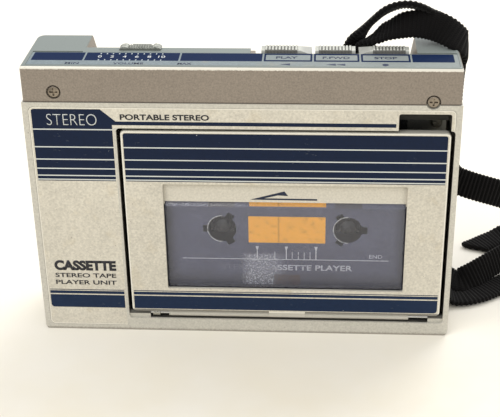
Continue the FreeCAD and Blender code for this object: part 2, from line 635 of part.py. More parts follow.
# ---------------------------------------------------------------- tape deck
def idler_centre():
    """Where the idler meshes with both the capstan pinion and the take-up gear."""
    first = GEAR_MODULE * (PINION_TEETH + IDLER_TEETH) / 2
    second = GEAR_MODULE * (IDLER_TEETH + TAKEUP_TEETH) / 2
    dx = TAKEUP_X - CAPSTAN_X
    dz = HUB_Z - CAPSTAN_Z
    span = math.hypot(dx, dz)
    along = (first ** 2 - second ** 2 + span ** 2) / (2 * span)
    aside = math.sqrt(first ** 2 - along ** 2)
    ux, uz = dx / span, dz / span
    return CAPSTAN_X + along * ux - aside * uz, CAPSTAN_Z + along * uz + aside * ux


IDLER_X, IDLER_Z = idler_centre()


def mesh_turns():
    """Turns of the three gears, in degrees, that put a tooth opposite a gap at both meshes."""
    to_idler = math.degrees(math.atan2(IDLER_Z - CAPSTAN_Z, IDLER_X - CAPSTAN_X))
    to_takeup = math.degrees(math.atan2(HUB_Z - IDLER_Z, TAKEUP_X - IDLER_X))
    pinion = to_idler
    idler = to_idler + 180 + 180 / IDLER_TEETH
    tooth_at = (to_takeup - idler) / (360 / IDLER_TEETH)
    phase = tooth_at - round(tooth_at)
    takeup = to_takeup + 180 + 180 / TAKEUP_TEETH + phase * 360 / TAKEUP_TEETH
    return pinion, idler, takeup


PINION_TURN, IDLER_TURN, TAKEUP_TURN = mesh_turns()
BUSH_R = 3.6
GUIDES_X = (MID_X - 34.0, MID_X + 34.0)
GUIDES_Z = HUB_Z + 24.0
PINCH_X = CAPSTAN_X - 15.0
PINCH_Z = CAPSTAN_Z + 11.6
PINCH_ROLLER_R = 5.4
PINCH_ROLLER_X = CAPSTAN_X + 0.2
PINCH_ROLLER_Z = CAPSTAN_Z + 10.6
HEAD_PLATE = (CAPSTAN_X + 5.4, MID_X + 28.0)
HEAD_PLATE_Z0 = CAPSTAN_Z + 3.4
HEAD_PLATE_Y = CHASSIS_Y - 1.2
HEAD_Z = CAPSTAN_Z + 7.2
BRACKET_Y = FLYWHEEL_Y + FLYWHEEL_T + 1.0


def chassis_plate():
    sheet = plate(OPEN_L + 1.4, OPEN_R - 1.4, CHASSIS_Y, CHASSIS_BACK, 6.0, CHASSIS_TOP, 2.0)
    holes = [rod_y(x, z, 0, 30, 1.0) for x, z in CHASSIS_POSTS]
    holes += [rod_y(x, HUB_Z, 0, 30, BUSH_R) for x in (TAKEUP_X, SUPPLY_X)]
    holes.append(rod_y(CAPSTAN_X, CAPSTAN_Z, 0, 30, BUSH_R))
    holes += [rod_y(x, GUIDES_Z, 0, 30, 1.2) for x in GUIDES_X]
    holes.append(rod_y(IDLER_X, IDLER_Z, 0, 30, SHAFT_R))
    holes.append(rod_y(PINCH_X, PINCH_Z, 0, 30, SHAFT_R))
    holes += [rod_y(x, z, 0, 30, CASE_POST_R + 0.4) for x, z, _ in CASE_SCREWS[1:]]
    holes += [box(x - CASE_POST_R - 0.4, x + CASE_POST_R + 0.4, 0, 30, 0, z) for x, z, _ in CASE_SCREWS[2:]]
    holes.append(plate(MID_X - 9, MID_X + 9, 0, 30, HUB_Z - 18, HUB_Z + 4, 2))
    return cut(sheet, holes)


def bush(x, z, bore):
    """Flanged brass bearing pressed into the deck plate."""
    front = CHASSIS_Y - 1.9
    back = CHASSIS_BACK + 0.4
    body = fuse([rod_y(x, z, front, back, BUSH_R), rod_y(x, z, front, CHASSIS_Y, BUSH_R + 0.9)])
    return body.cut(rod_y(x, z, 0, 40, bore))


def reel_hub(x):
    """Splined reel driver that turns the cassette hub, with its flange and shaft."""
    core = rod_y(x, HUB_Z, 5.2, 14.2, 2.6)
    nose = Part.makeCone(0.9, 2.6, 1.2, FreeCAD.Vector(x, 4.0, HUB_Z), AXIS_Y)
    flange = rod_y(x, HUB_Z, 13.2, 14.4, 5.2)
    fins = []
    for index in range(3):
        fin = box(x - 0.5, x + 0.5, 6.0, 13.4, HUB_Z, HUB_Z + 4.3)
        fin.rotate(FreeCAD.Vector(x, 0, HUB_Z), AXIS_Y, 120 * index)
        fins.append(fin)
    return [core, nose, flange] + fins


def takeup_reel():
    shaft = rod_y(TAKEUP_X, HUB_Z, 13.0, GEAR_Y + GEAR_T, SPINDLE_R)
    return fuse(reel_hub(TAKEUP_X) + [shaft])


def supply_reel():
    shaft = rod_y(SUPPLY_X, HUB_Z, 13.0, GEAR_Y + GEAR_T, SPINDLE_R)
    return fuse(reel_hub(SUPPLY_X) + [shaft])


def takeup_gear():
    wheel = gear(TAKEUP_X, HUB_Z, GEAR_Y, GEAR_T, TAKEUP_TEETH, TAKEUP_TURN)
    windows = []
    for index in range(5):
        angle = 2 * math.pi * index / 5
        windows.append(rod_y(TAKEUP_X + 7 * math.cos(angle), HUB_Z + 7 * math.sin(angle), 0, 40, 2.3))
    return cut(wheel, windows + [rod_y(TAKEUP_X, HUB_Z, 0, 40, SPINDLE_R)])


def idler_gear():
    wheel = gear(IDLER_X, IDLER_Z, GEAR_Y, GEAR_T, IDLER_TEETH, IDLER_TURN)
    return wheel.cut(rod_y(IDLER_X, IDLER_Z, 0, 40, SHAFT_R + RUN))


def capstan_pinion():
    wheel = gear(CAPSTAN_X, CAPSTAN_Z, GEAR_Y, GEAR_T, PINION_TEETH, PINION_TURN)
    return wheel.cut(rod_y(CAPSTAN_X, CAPSTAN_Z, 0, 40, SHAFT_R))


def flywheel():
    disc = rod_y(CAPSTAN_X, CAPSTAN_Z, FLYWHEEL_Y, FLYWHEEL_Y + FLYWHEEL_T, FLYWHEEL_R)
    groove = ring_y(CAPSTAN_X, CAPSTAN_Z, FLYWHEEL_Y + 1.4, FLYWHEEL_Y + 2.6, FLYWHEEL_R + 1,
                    FLYWHEEL_R - BELT - 0.1)
    dish = ring_y(CAPSTAN_X, CAPSTAN_Z, FLYWHEEL_Y + 2.9, FLYWHEEL_Y + FLYWHEEL_T + 1, FLYWHEEL_R - 3, 4.5)
    return cut(disc, [groove, dish, rod_y(CAPSTAN_X, CAPSTAN_Z, 0, 40, SHAFT_R)])


def belt():
    """Flat loop in one plane round the motor pulley and the flywheel, clear of both grooves."""
    y0 = FLYWHEEL_Y + 1.6
    y1 = FLYWHEEL_Y + 2.4
    small = PULLEY_R - BELT + 0.1
    large = FLYWHEEL_R - BELT
    dx = CAPSTAN_X - MOTOR_X
    dz = CAPSTAN_Z - MOTOR_Z
    span = math.hypot(dx, dz)
    heading = math.atan2(dz, dx)
    lean = math.asin((large - small) / span)

    def loop(extra):
        up = heading + math.pi / 2 + lean
        down = heading - math.pi / 2 - lean

        def spot(cx, cz, radius, angle):
            return FreeCAD.Vector(cx + radius * math.cos(angle), y0, cz + radius * math.sin(angle))

        a = spot(MOTOR_X, MOTOR_Z, small + extra, up)
        b = spot(CAPSTAN_X, CAPSTAN_Z, large + extra, up)
        c = spot(CAPSTAN_X, CAPSTAN_Z, large + extra, heading)
        d = spot(CAPSTAN_X, CAPSTAN_Z, large + extra, down)
        e = spot(MOTOR_X, MOTOR_Z, small + extra, down)
        f = spot(MOTOR_X, MOTOR_Z, small + extra, heading + math.pi)
        edges = [Part.LineSegment(a, b).toShape(), Part.Arc(b, c, d).toShape(),
                 Part.LineSegment(d, e).toShape(), Part.Arc(e, f, a).toShape()]
        return Part.Face(Part.Wire(edges)).extrude(FreeCAD.Vector(0, y1 - y0, 0))

    return loop(BELT).cut(loop(0.0))


def motor_pulley():
    body = rod_y(MOTOR_X, MOTOR_Z, FLYWHEEL_Y + 0.2, FLYWHEEL_Y + 3.8, PULLEY_R + 0.6)
    groove = ring_y(MOTOR_X, MOTOR_Z, FLYWHEEL_Y + 1.4, FLYWHEEL_Y + 2.6, PULLEY_R + 2, PULLEY_R - BELT)
    shaft = rod_y(MOTOR_X, MOTOR_Z, CHASSIS_BACK + 1.3, FLYWHEEL_Y + 0.4, SHAFT_R)
    return fuse([body.cut(groove), shaft])


def motor_body():
    can = rod_y(MOTOR_X, MOTOR_Z, CHASSIS_BACK - MOTOR_LENGTH, CHASSIS_BACK, MOTOR_R)
    can = can.makeFillet(1.0, [e for e in can.Edges if abs(e.CenterOfMass.y - can.BoundBox.YMin) < 1e-6
                               and len(e.Vertexes) == 1])
    neck = ring_y(MOTOR_X, MOTOR_Z, CHASSIS_BACK, CHASSIS_BACK + 1.4, 3.0, SHAFT_R + RUN)
    can = can.cut(rod_y(MOTOR_X, MOTOR_Z, CHASSIS_BACK - 1, CHASSIS_BACK + 1, SHAFT_R + RUN))
    return fuse([can, neck])


def motor_bracket():
    sheet = plate(MOTOR_X - MOTOR_R, OPEN_L + 6, CHASSIS_BACK, CHASSIS_BACK + 1, MOTOR_Z - 7, MOTOR_Z + 7, 2)
    return cut(sheet, [rod_y(MOTOR_X, MOTOR_Z, 0, 40, 3.0)])


def flywheel_bracket():
    left = CAPSTAN_X - FLYWHEEL_R - 4
    right = CAPSTAN_X + FLYWHEEL_R + 4
    strap = box(left, right, BRACKET_Y, BRACKET_Y + 1, CAPSTAN_Z - 4, CAPSTAN_Z + 4)
    legs = [box(left, left + 1, CHASSIS_BACK, BRACKET_Y + 1, CAPSTAN_Z - 3, CAPSTAN_Z + 3),
            box(right - 1, right, CHASSIS_BACK, BRACKET_Y + 1, CAPSTAN_Z - 4, CAPSTAN_Z + 4)]
    return fuse([strap] + legs)


def capstan_shaft():
    end = BRACKET_Y - 0.15
    return rod_y(CAPSTAN_X, CAPSTAN_Z, 4.6, end, SHAFT_R)


def head_plate():
    x0, x1 = HEAD_PLATE
    sheet = plate(x0, x1, HEAD_PLATE_Y, HEAD_PLATE_Y + 1.0, HEAD_PLATE_Z0, HEAD_PLATE_TOP, 1.5)
    slots = [plate(x - 1.0, x + 1.0, 0, 30, CHASSIS_TOP - 9.8, CHASSIS_TOP - 2.6, 0.9)
             for x in (x0 + 4, x1 - 4)]
    pass_x = stem_x(1)
    pass_half = STEM_WIDTH / 2 + 0.7
    pass_z = STEM_END_Z - KEY_TRAVEL - 0.5
    slots.append(box(pass_x - pass_half, pass_x + pass_half, 0, 30, pass_z, SEAM_Z))
    return cut(sheet, slots)


def tape_head():
    """Permalloy head with its rounded face and the foot that holds it on the sliding plate."""
    x = MID_X
    block = box(x - 6, x + 6, 5.0, 13.0, HEAD_Z, HEAD_Z + 7)
    nose = Part.makeCylinder(8.0, 8.0, FreeCAD.Vector(x, 5.0, HEAD_Z + 6.5), AXIS_Y)
    block = block.common(nose)
    foot = box(x - 8, x + 8, 13.0, HEAD_PLATE_Y, HEAD_Z + 4, HEAD_Z + 7)
    return fuse([block, foot])


def plate_studs():
    """Shouldered studs on the deck that the sliding plate's slots run on."""
    studs = []
    for x in (HEAD_PLATE[0] + 4, HEAD_PLATE[1] - 4):
        z = CHASSIS_TOP - 8.6
        studs.append(fuse([rod_y(x, z, HEAD_PLATE_Y - 0.2, CHASSIS_Y, 0.85),
                           rod_y(x, z, HEAD_PLATE_Y - 0.8, HEAD_PLATE_Y - 0.2, 1.6)]))
    return studs


def pinch_arm():
    y0, y1 = 13.4, 14.6
    pieces = [rod_y(PINCH_X, PINCH_Z, y0, y1 + 0.4, 2.4),
              rod_y(PINCH_ROLLER_X, PINCH_ROLLER_Z, y0, y1, 2.4),
              prism_y([(PINCH_X, PINCH_Z - 1.6), (PINCH_ROLLER_X, PINCH_ROLLER_Z - 1.6),
                       (PINCH_ROLLER_X, PINCH_ROLLER_Z + 1.6), (PINCH_X, PINCH_Z + 1.6)], y0, y1),
              rod_y(PINCH_ROLLER_X, PINCH_ROLLER_Z, 5.6, y0, SHAFT_R),
              rod_y(PINCH_ROLLER_X, PINCH_ROLLER_Z, 5.0, 5.6, 1.8)]
    return fuse(pieces).cut(rod_y(PINCH_X, PINCH_Z, 0, 40, SHAFT_R + RUN))


def pinch_roller():
    return ring_y(PINCH_ROLLER_X, PINCH_ROLLER_Z, 5.8, 13.0, PINCH_ROLLER_R, SHAFT_R + RUN)


def deck_posts():
    """Riveted posts: idler post, pinch arm post, cassette locating pins and plate studs."""
    pins = [rod_y(IDLER_X, IDLER_Z, CHASSIS_Y, GEAR_Y + GEAR_T + 0.2, SHAFT_R),
            rod_y(PINCH_X, PINCH_Z, 12.8, CHASSIS_BACK, SHAFT_R)]
    for x in GUIDES_X:
        tip = Part.makeCone(0.5, 1.2, 1.5, FreeCAD.Vector(x, 6.5, GUIDES_Z), AXIS_Y)
        pins.append(fuse([tip, rod_y(x, GUIDES_Z, 8.0, CHASSIS_BACK, 1.2)]))
    return Part.makeCompound(pins + plate_studs())


def leaf_switch():
    """Motor switch: two spring leaves in an insulating block beside the sliding plate."""
    x = stem_x(2) + STEM_WIDTH / 2 + 0.9
    block = box(x, x + 5, 13.0, CHASSIS_Y, CHASSIS_TOP - 12, CHASSIS_TOP - 8)
    leaves = [box(x + 1.0, x + 1.3, 13.5, 15.5, CHASSIS_TOP - 8, CHASSIS_TOP - 1),
              box(x + 3.2, x + 3.5, 13.5, 15.5, CHASSIS_TOP - 8, CHASSIS_TOP - 0.5)]
    return fuse([block] + leaves)


def make_deck():
    put("chassis_plate", chassis_plate())
    put("deck_bushes", Part.makeCompound([bush(TAKEUP_X, HUB_Z, SPINDLE_R + RUN),
                                          bush(SUPPLY_X, HUB_Z, SPINDLE_R + RUN),
                                          bush(CAPSTAN_X, CAPSTAN_Z, SHAFT_R + RUN)]))
    put("takeup_reel", takeup_reel())
    put("takeup_gear", takeup_gear())
    put("supply_reel", supply_reel())
    put("supply_washer", ring_y(SUPPLY_X, HUB_Z, GEAR_Y + 0.6, GEAR_Y + GEAR_T, 6.5, SPINDLE_R))
    put("idler_gear", idler_gear())
    put("capstan_pinion", capstan_pinion())
    put("capstan_shaft", capstan_shaft())
    put("flywheel", flywheel())
    put("flywheel_bracket", flywheel_bracket())
    put("drive_belt", belt())
    put("motor_body", motor_body())
    put("motor_pulley", motor_pulley())
    put("motor_bracket", motor_bracket())
    put("head_plate", head_plate())
    put("tape_head", tape_head())
    put("pinch_arm", pinch_arm())
    put("pinch_roller", pinch_roller())
    put("deck_posts", deck_posts())
    put("leaf_switch", leaf_switch())
    screws = [screw(x, z, CHASSIS_Y - 1.1, 5.5, 1, 1.9, 0.8) for x, z in CHASSIS_POSTS]
    screws += [screw(x, z, BOARD_Y - 1.1, 3.6, 1, 1.7, 0.8) for x, z in BOARD_POSTS]
    put("inner_screws", Part.makeCompound(screws))


# ---------------------------------------------------------------- keys and volume slider
KEY_FRONT = CHANNEL_Y + 0.35
KEY_BACK = BACK - 2.6
KEY_TOP_Z = TOP_Z + KEY_CREST


def key_outline(grow):
    """Side view of a key in (y, z): upright front, short crest, slope down to the rear."""
    return [(KEY_FRONT - grow, KEY_TOP_Z - 0.9), (KEY_FRONT + 0.25 - grow, KEY_TOP_Z - 0.25 + grow),
            (KEY_FRONT + 0.9, KEY_TOP_Z + grow), (KEY_FRONT + 4.0, KEY_TOP_Z + grow),
            (KEY_FRONT + 7.5, KEY_TOP_Z - 1.6 + grow), (KEY_BACK + grow, KEY_TOP_Z - 4.6)]


def key_body(index):
    x0 = KEY_START + sum(KEY_WIDTHS[:index]) + KEY_GAP * index
    x1 = x0 + KEY_WIDTHS[index]
    outline = key_outline(0) + [(KEY_BACK, KEY_BOTTOM_Z), (KEY_FRONT, KEY_BOTTOM_Z)]
    body = prism_x(outline, x0, x1)
    rib_span = KEY_RIB_PITCH * (KEY_RIBS - 1)
    if index == 0:
        first = x0 + 1.6
        slope = prism_y([(x1 - 4.1, KEY_TOP_Z + 1), (x1 - 4.1, KEY_TOP_Z), (x1 + 0.1, KEY_TOP_Z - 1.5),
                         (x1 + 0.1, KEY_TOP_Z + 1)], 0, BACK)
    elif index == 2:
        first = x1 - 1.6 - rib_span
        slope = prism_y([(x0 + 4.1, KEY_TOP_Z + 1), (x0 + 4.1, KEY_TOP_Z), (x0 - 0.1, KEY_TOP_Z - 1.5),
                         (x0 - 0.1, KEY_TOP_Z + 1)], 0, BACK)
    else:
        first = (x0 + x1 - rib_span) / 2
        slope = None
    if slope:
        body = body.cut(slope)
    hollow = box(x0 + 1, x1 - 1, KEY_FRONT + 4.4, KEY_BACK - 1.2, KEY_BOTTOM_Z - 1, KEY_ROOF_Z)
    body = body.cut(hollow)
    ribs = []
    for rib in range(KEY_RIBS):
        x = first + rib * KEY_RIB_PITCH
        low = [(KEY_FRONT + 8, KEY_TOP_Z - 2.4), (KEY_FRONT + 2, KEY_TOP_Z - 1.4), (KEY_FRONT, KEY_TOP_Z - 2.4)]
        outline = [(KEY_FRONT - 0.25, KEY_TOP_Z - 2.0)] + key_outline(0.28)[:5] + low
        ribs.append(prism_x(outline, x - 0.29, x + 0.29))
    return fuse([body] + ribs)


def key_stem(index):
    """Steel tongue from the key down through the channel floor to the deck."""
    x = stem_x(index)
    end = HEAD_PLATE_TOP if index == 0 else STEM_END_Z
    return box(x - STEM_WIDTH / 2, x + STEM_WIDTH / 2, STEM_Y, STEM_Y + STEM_T, end, KEY_BOTTOM_Z)


def key_spring(index):
    """Coil spring between the channel floor and the roof of the key's hollow."""
    x = stem_x(index) + 4.2 if index != 2 else stem_x(index) - 4.2
    if index == 1:
        x = stem_x(index) + 3.4
    y = KEY_FRONT + 8.0
    height = KEY_ROOF_Z - KEY_FLOOR_Z
    radius = 1.5
    coils = []
    turns = 5
    for turn in range(turns):
        z = KEY_FLOOR_Z + 0.25 + (height - 0.5) * turn / (turns - 1)
        coils.append(Part.makeTorus(radius, 0.25, FreeCAD.Vector(x, y, z), AXIS_Z))
    wire = rod_z(x, y, KEY_FLOOR_Z, KEY_FLOOR_Z + height, radius + 0.1)
    wire = wire.cut(rod_z(x, y, 0, TOP_Z, radius - 0.1))
    return fuse([wire] + coils)


def volume_knob():
    """Low toothed knob on the ledge, with a neck that reaches down behind it."""
    x0 = KNOB_X - KNOB_WIDTH / 2
    x1 = KNOB_X + KNOB_WIDTH / 2
    y0 = CHANNEL_Y + LEDGE_DEPTH - 2.35
    floor = TOP_Z + 0.05
    low = floor + 0.35
    high = TOP_Z + KNOB_RISE
    grip = x0 + 3.0
    pitch = (x1 - 3.0 - grip) / KNOB_TEETH
    outline = [(x0, floor), (x0, low), (x0 + 0.8, high - 0.2), (x0 + 2.0, high), (x0 + 2.7, high - 0.3)]
    for tooth in range(KNOB_TEETH):
        outline.append((grip + tooth * pitch, low))
        outline.append((grip + (tooth + 0.5) * pitch, high - 0.25))
    outline += [(x1 - 3.0, low), (x1 - 2.7, high - 0.3), (x1 - 2.0, high), (x1 - 0.8, high - 0.2), (x1, low),
                (x1, floor)]
    head = prism_y(outline, y0, y0 + KNOB_DEPTH)
    neck = box(KNOB_X - NECK_WIDTH / 2, KNOB_X + NECK_WIDTH / 2, SLIDE_SLOT_Y - NECK_T / 2,
               SLIDE_SLOT_Y + NECK_T / 2, SLIDE_FLOOR_Z + 0.3, low)
    return cut(fuse([head, neck]), [volume_arm()])


def volume_arm():
    """Steel arm from the knob's neck down through the slot into the slide resistor."""
    return box(KNOB_X - 1.0, KNOB_X + 1.0, SLIDE_SLOT_Y - 0.5, SLIDE_SLOT_Y + 0.5, SEAM_Z + 3.5, ARM_TOP_Z)


def slide_resistor():
    x0 = KNOB_X - KNOB_TO_MIN - 5
    x1 = KNOB_X + KNOB_TO_MAX + 5
    top = SLIDE_FLOOR_Z - WALL
    body = box(x0, x1, SLIDE_SLOT_Y - 3.2, SLIDE_SLOT_Y + 4.0, SEAM_Z - 0.6, top)
    slot = box(x0 + 2.5, x1 - 2.5, SLIDE_SLOT_Y - 0.9, SLIDE_SLOT_Y + 0.9, SEAM_Z + 2.5, top + 1)
    return body.cut(slot)


def make_controls():
    for index, name in enumerate(KEY_NAMES):
        put(name + "_key", key_body(index))
        put(name + "_stem", key_stem(index))
        put(name + "_spring", key_spring(index))
    put("volume_knob", volume_knob())
    put("volume_arm", volume_arm())
    put("slide_resistor", slide_resistor())


# ---------------------------------------------------------------- electrics
BOARD = (OPEN_L + 8.5, OPEN_R - 8.5, 5.8, HUB_Z - 13.4)
CELL_SPOTS = ((INNER_L + CELL_R + 0.1, FRONT_WALL + CELL_R + 0.1), (OPEN_L - 1.6 - CELL_R, INNER_BACK - CELL_R - 0.9))
CELL_Z = WALL + 2.6


def circuit_board():
    x0, x1, z0, z1 = BOARD
    sheet = box(x0, x1, BOARD_Y, BOARD_Y + BOARD_T, z0, z1)
    return cut(sheet, [rod_y(x, z, 0, 40, 1.0) for x, z in BOARD_POSTS])


def board_parts():
    """Capacitors, amplifier chip, trimmers and coil that stand on the board's inner side."""
    x0, x1, z0, z1 = BOARD
    parts = []
    span = x1 - x0
    for share, height, radius, drop in ((0.08, 4.6, 2.4, 4.0), (0.30, 4.2, 2.0, 14.0), (0.38, 5.0, 2.8, 5.0),
                                        (0.62, 4.6, 2.4, 14.5), (0.72, 5.0, 3.0, 5.5), (0.965, 4.2, 2.0, 13.0)):
        parts.append(rod_y(x0 + span * share, z0 + drop, BOARD_Y - height, BOARD_Y, radius))
    chip_x = x0 + span * 0.5
    parts.append(box(chip_x - 6, chip_x + 6, BOARD_Y - 2.6, BOARD_Y, z0 + 6, z0 + 12))
    coil_x = x0 + span * 0.85
    parts.append(box(coil_x - 3.5, coil_x + 3.5, BOARD_Y - 4.5, BOARD_Y, z0 + 3, z0 + 10))
    return Part.makeCompound(parts)


def jack(z, bore, width):
    """Socket whose sleeve fills the hole in the case side."""
    body = box(INNER_L, -HALF + JACK_LENGTH + 0.6, JACK_Y - width / 2, JACK_Y + width / 2,
               z - width / 2, z + width / 2)
    sleeve = rod_x(JACK_Y, z, -HALF, INNER_L + 0.5, bore + JACK_SLEEVE - 0.02)
    hole = rod_x(JACK_Y, z, -HALF - 1, -HALF + JACK_LENGTH, bore)
    return fuse([body, sleeve]).cut(hole)


def cells():
    both = []
    for index, (x, y) in enumerate(CELL_SPOTS):
        can = rod_z(x, y, CELL_Z, CELL_Z + CELL_LENGTH - 1.4, CELL_R)
        nub_z = CELL_Z + CELL_LENGTH - 1.4 if index == 0 else CELL_Z - 1.0
        nub = rod_z(x, y, nub_z, nub_z + 1.0, 2.6)
        can = can.makeFillet(0.5, [e for e in can.Edges if len(e.Vertexes) == 1])
        both.append(fuse([can, nub]))
    return Part.makeCompound(both)


def cell_contacts():
    """Sheet contacts at both ends of the cells: flat plates and conical springs."""
    pieces = []
    for index, (x, y) in enumerate(CELL_SPOTS):
        flat_z = CELL_Z + CELL_LENGTH - 0.35 if index == 0 else CELL_Z - 1.45
        pieces.append(box(x - 5, x + 5, y - 5, y + 5, flat_z, flat_z + 0.4))
        spring_low = CELL_Z - 2.2 if index == 0 else CELL_Z + CELL_LENGTH - 1.4
        base_z = CELL_Z - 2.5 if index == 0 else CELL_Z + CELL_LENGTH + 1.0
        pieces.append(box(x - 5, x + 5, y - 5, y + 5, base_z, base_z + 0.35))
        wide, narrow = (4.2, 2.4) if index == 0 else (2.4, 4.2)
        cone = Part.makeCone(wide, narrow, 2.0, FreeCAD.Vector(x, y, spring_low + 0.1))
        core = Part.makeCone(wide - 0.6, narrow - 0.6, 2.0, FreeCAD.Vector(x, y, spring_low + 0.1))
        pieces.append(cone.cut(core))
    return Part.makeCompound(pieces)


def make_electrics():
    put("circuit_board", circuit_board())
    put("board_parts", board_parts())
    put("headphone_jack", jack(PHONE_Z, PHONE_R, 7.0))
    put("power_jack", jack(POWER_Z, POWER_R, 8.0))
    put("battery_cells", cells())
    put("battery_contacts", cell_contacts())


# ---------------------------------------------------------------- carrying strap
STRAP_TUBE_R = 2.6       # round stand-in of the same section as the 10 x 2.2 mm webbing
FRONT_RUN = ((41.2, 31.8, 80.5), (41.4, 33.8, 89.0), (42.4, 32.4, 97.0), (47.0, 28.2, 102.8),
             (55.0, 24.0, 105.4), (63.8, 21.5, 105.2), (71.6, 20.3, 102.4), (75.6, 19.6, 95.4),
             (75.0, 19.0, 84.0), (74.1, 18.8, 68.0), (73.9, 19.3, 49.0), (73.8, 19.6, 30.0),
             (74.4, 20.4, 13.5), (77.6, 22.8, 4.6), (84.0, 28.3, 2.7), (92.6, 35.4, 2.7),
             (102.0, 43.2, 2.7), (110.4, 52.4, 2.7), (111.4, 62.2, 2.7), (104.2, 67.0, 2.7),
             (94.2, 64.0, 2.7), (83.6, 61.6, 2.7))
REAR_RUN = ((35.6, 31.8, 80.5), (35.3, 33.8, 89.0), (36.4, 32.4, 97.6), (41.2, 29.0, 104.4),
            (47.6, 26.6, 109.2), (55.5, 25.6, 111.2), (63.4, 26.4, 109.0), (70.4, 28.6, 104.2),
            (74.2, 31.6, 95.4), (73.0, 34.2, 82.4), (70.2, 34.6, 69.4), (70.6, 33.9, 57.0),
            (75.4, 32.2, 48.6), (82.5, 31.6, 43.8), (90.0, 33.0, 39.5), (98.0, 37.4, 33.6),
            (105.5, 44.6, 24.6), (108.0, 52.6, 13.6), (103.4, 54.6, 7.0), (96.0, 48.0, 6.0),
            (88.3, 40.2, 6.0), (80.2, 33.8, 6.0), (72.6, 33.0, 6.0), (64.0, 35.4, 6.0),
            (53.0, 38.0, 6.0), (41.0, 38.8, 6.0))
BEND_SHARE = 0.45


def tube(route, radius):
    """Round tube along straight runs joined by the largest tangent arcs that the runs allow."""
    points = [FreeCAD.Vector(x, y, z) for x, y, z in route]
    edges = []
    radii = []
    here = points[0]
    for before, corner, after in zip(points, points[1:], points[2:]):
        run_in = corner.sub(before)
        run_out = after.sub(corner)
        turn = run_in.getAngle(run_out)
        reach = BEND_SHARE * min(run_in.Length, run_out.Length)
        bend = reach / math.tan(turn / 2)
        radii.append(bend)
        unit_in = FreeCAD.Vector(run_in).normalize()
        unit_out = FreeCAD.Vector(run_out).normalize()
        start = corner.sub(unit_in * reach)
        end = corner.add(unit_out * reach)
        inward = (unit_out - unit_in).normalize()
        middle = corner.add(inward * (bend / math.cos(turn / 2) - bend))
        edges.append(Part.LineSegment(here, start).toShape())
        edges.append(Part.Arc(start, middle, end).toShape())
        here = end
    edges.append(Part.LineSegment(here, points[-1]).toShape())
    path = Part.Wire(edges)
    first = points[1].sub(points[0]).normalize()
    ring = Part.Wire(Part.Circle(points[0], first, radius).toShape())
    solid = path.makePipeShell([ring], True, False)
    exact = math.pi * radius ** 2 * path.Length
    print("tube length %.1f, volume share %.3f, smallest bend %.1f"
          % (path.Length, abs(solid.Volume) / exact, min(radii)))
    print("bends", " ".join("%.0f" % r for r in radii))
    return solid


def make_strap():
    put("strap_front_run", tube(FRONT_RUN, STRAP_TUBE_R))
    put("strap_rear_run", tube(REAR_RUN, STRAP_TUBE_R))


# ---------------------------------------------------------------- build
make_case()
make_door()
make_deck()
make_controls()
make_electrics()
make_strap()
for node, solid in PLACED.items():
    solid.exportStep("parts/" + node + ".step")
print(len(PLACED), "nodes")
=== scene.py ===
"""Pocket cassette player: printed front, window, lettering, springs, webbing strap and stage.

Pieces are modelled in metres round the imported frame, with +Z up and the front facing -Y.
Print patterns are laid out in millimetres, from the corners of the frame's own parts.
"""
import functools
import math

import bpy
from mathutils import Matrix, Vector


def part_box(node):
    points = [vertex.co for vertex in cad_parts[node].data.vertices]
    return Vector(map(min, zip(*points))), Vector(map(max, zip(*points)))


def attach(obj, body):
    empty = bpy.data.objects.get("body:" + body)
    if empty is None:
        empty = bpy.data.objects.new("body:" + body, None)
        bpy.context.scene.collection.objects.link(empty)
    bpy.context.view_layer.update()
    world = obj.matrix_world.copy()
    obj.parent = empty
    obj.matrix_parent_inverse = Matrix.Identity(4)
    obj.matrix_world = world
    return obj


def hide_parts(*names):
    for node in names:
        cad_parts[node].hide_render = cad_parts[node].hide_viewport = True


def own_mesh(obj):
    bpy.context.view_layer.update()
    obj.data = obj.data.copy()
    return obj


bl_info = {
    "name": "Cassette player looks",
    "version": (1, 0, 0),
    "blender": (4, 5, 0),
    "location": "View3D > Sidebar > Player",
    "description": "Models and finishes a pocket cassette player round its frame",
    "category": "Object",
}

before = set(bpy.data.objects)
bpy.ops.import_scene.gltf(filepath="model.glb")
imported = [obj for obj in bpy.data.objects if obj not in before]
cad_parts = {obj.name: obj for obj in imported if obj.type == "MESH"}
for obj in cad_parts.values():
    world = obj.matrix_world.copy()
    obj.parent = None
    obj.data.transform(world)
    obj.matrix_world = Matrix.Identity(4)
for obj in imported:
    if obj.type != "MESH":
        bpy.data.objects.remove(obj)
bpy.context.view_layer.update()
MM = 0.001


# ---------------------------------------------------------------- places, from the frame
def corners(node):
    """Lowest and highest corner of a frame part, in millimetres."""
    low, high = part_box(node)
    return low / MM, high / MM


TRIM_LOW, TRIM_HIGH = corners("trim_plate")
DOOR_LOW, DOOR_HIGH = corners("door_trim")
BEZEL_LOW, BEZEL_HIGH = corners("window_bezel")
LENS_LOW, LENS_HIGH = corners("window_lens")
LABEL_LOW, LABEL_HIGH = corners("label_strip")
CAP_LOW, CAP_HIGH = corners("top_cap")
CASE_LOW, CASE_HIGH = corners("front_case")
FRONT_Y = TRIM_LOW.y
LABEL_TOP = LABEL_HIGH.z


def hub_place(node):
    """Middle of a reel's flange, as (x, z)."""
    low, high = corners(node)
    return (low.x + high.x) / 2, (low.z + high.z) / 2


HUB_RIGHT = hub_place("supply_washer")
HUB_LEFT = hub_place("takeup_gear")
KEYS = {name: corners(name + "_key") for name in ("play", "ffwd", "stop")}
KNOB_LOW, KNOB_HIGH = corners("volume_knob")


def display(red, green, blue):
    """Linear colour of a paint mixed to these 0-255 display values."""
    def linear(value):
        share = value / 255
        return share / 12.92 if share <= 0.04045 else ((share + 0.055) / 1.055) ** 2.4
    return linear(red), linear(green), linear(blue)


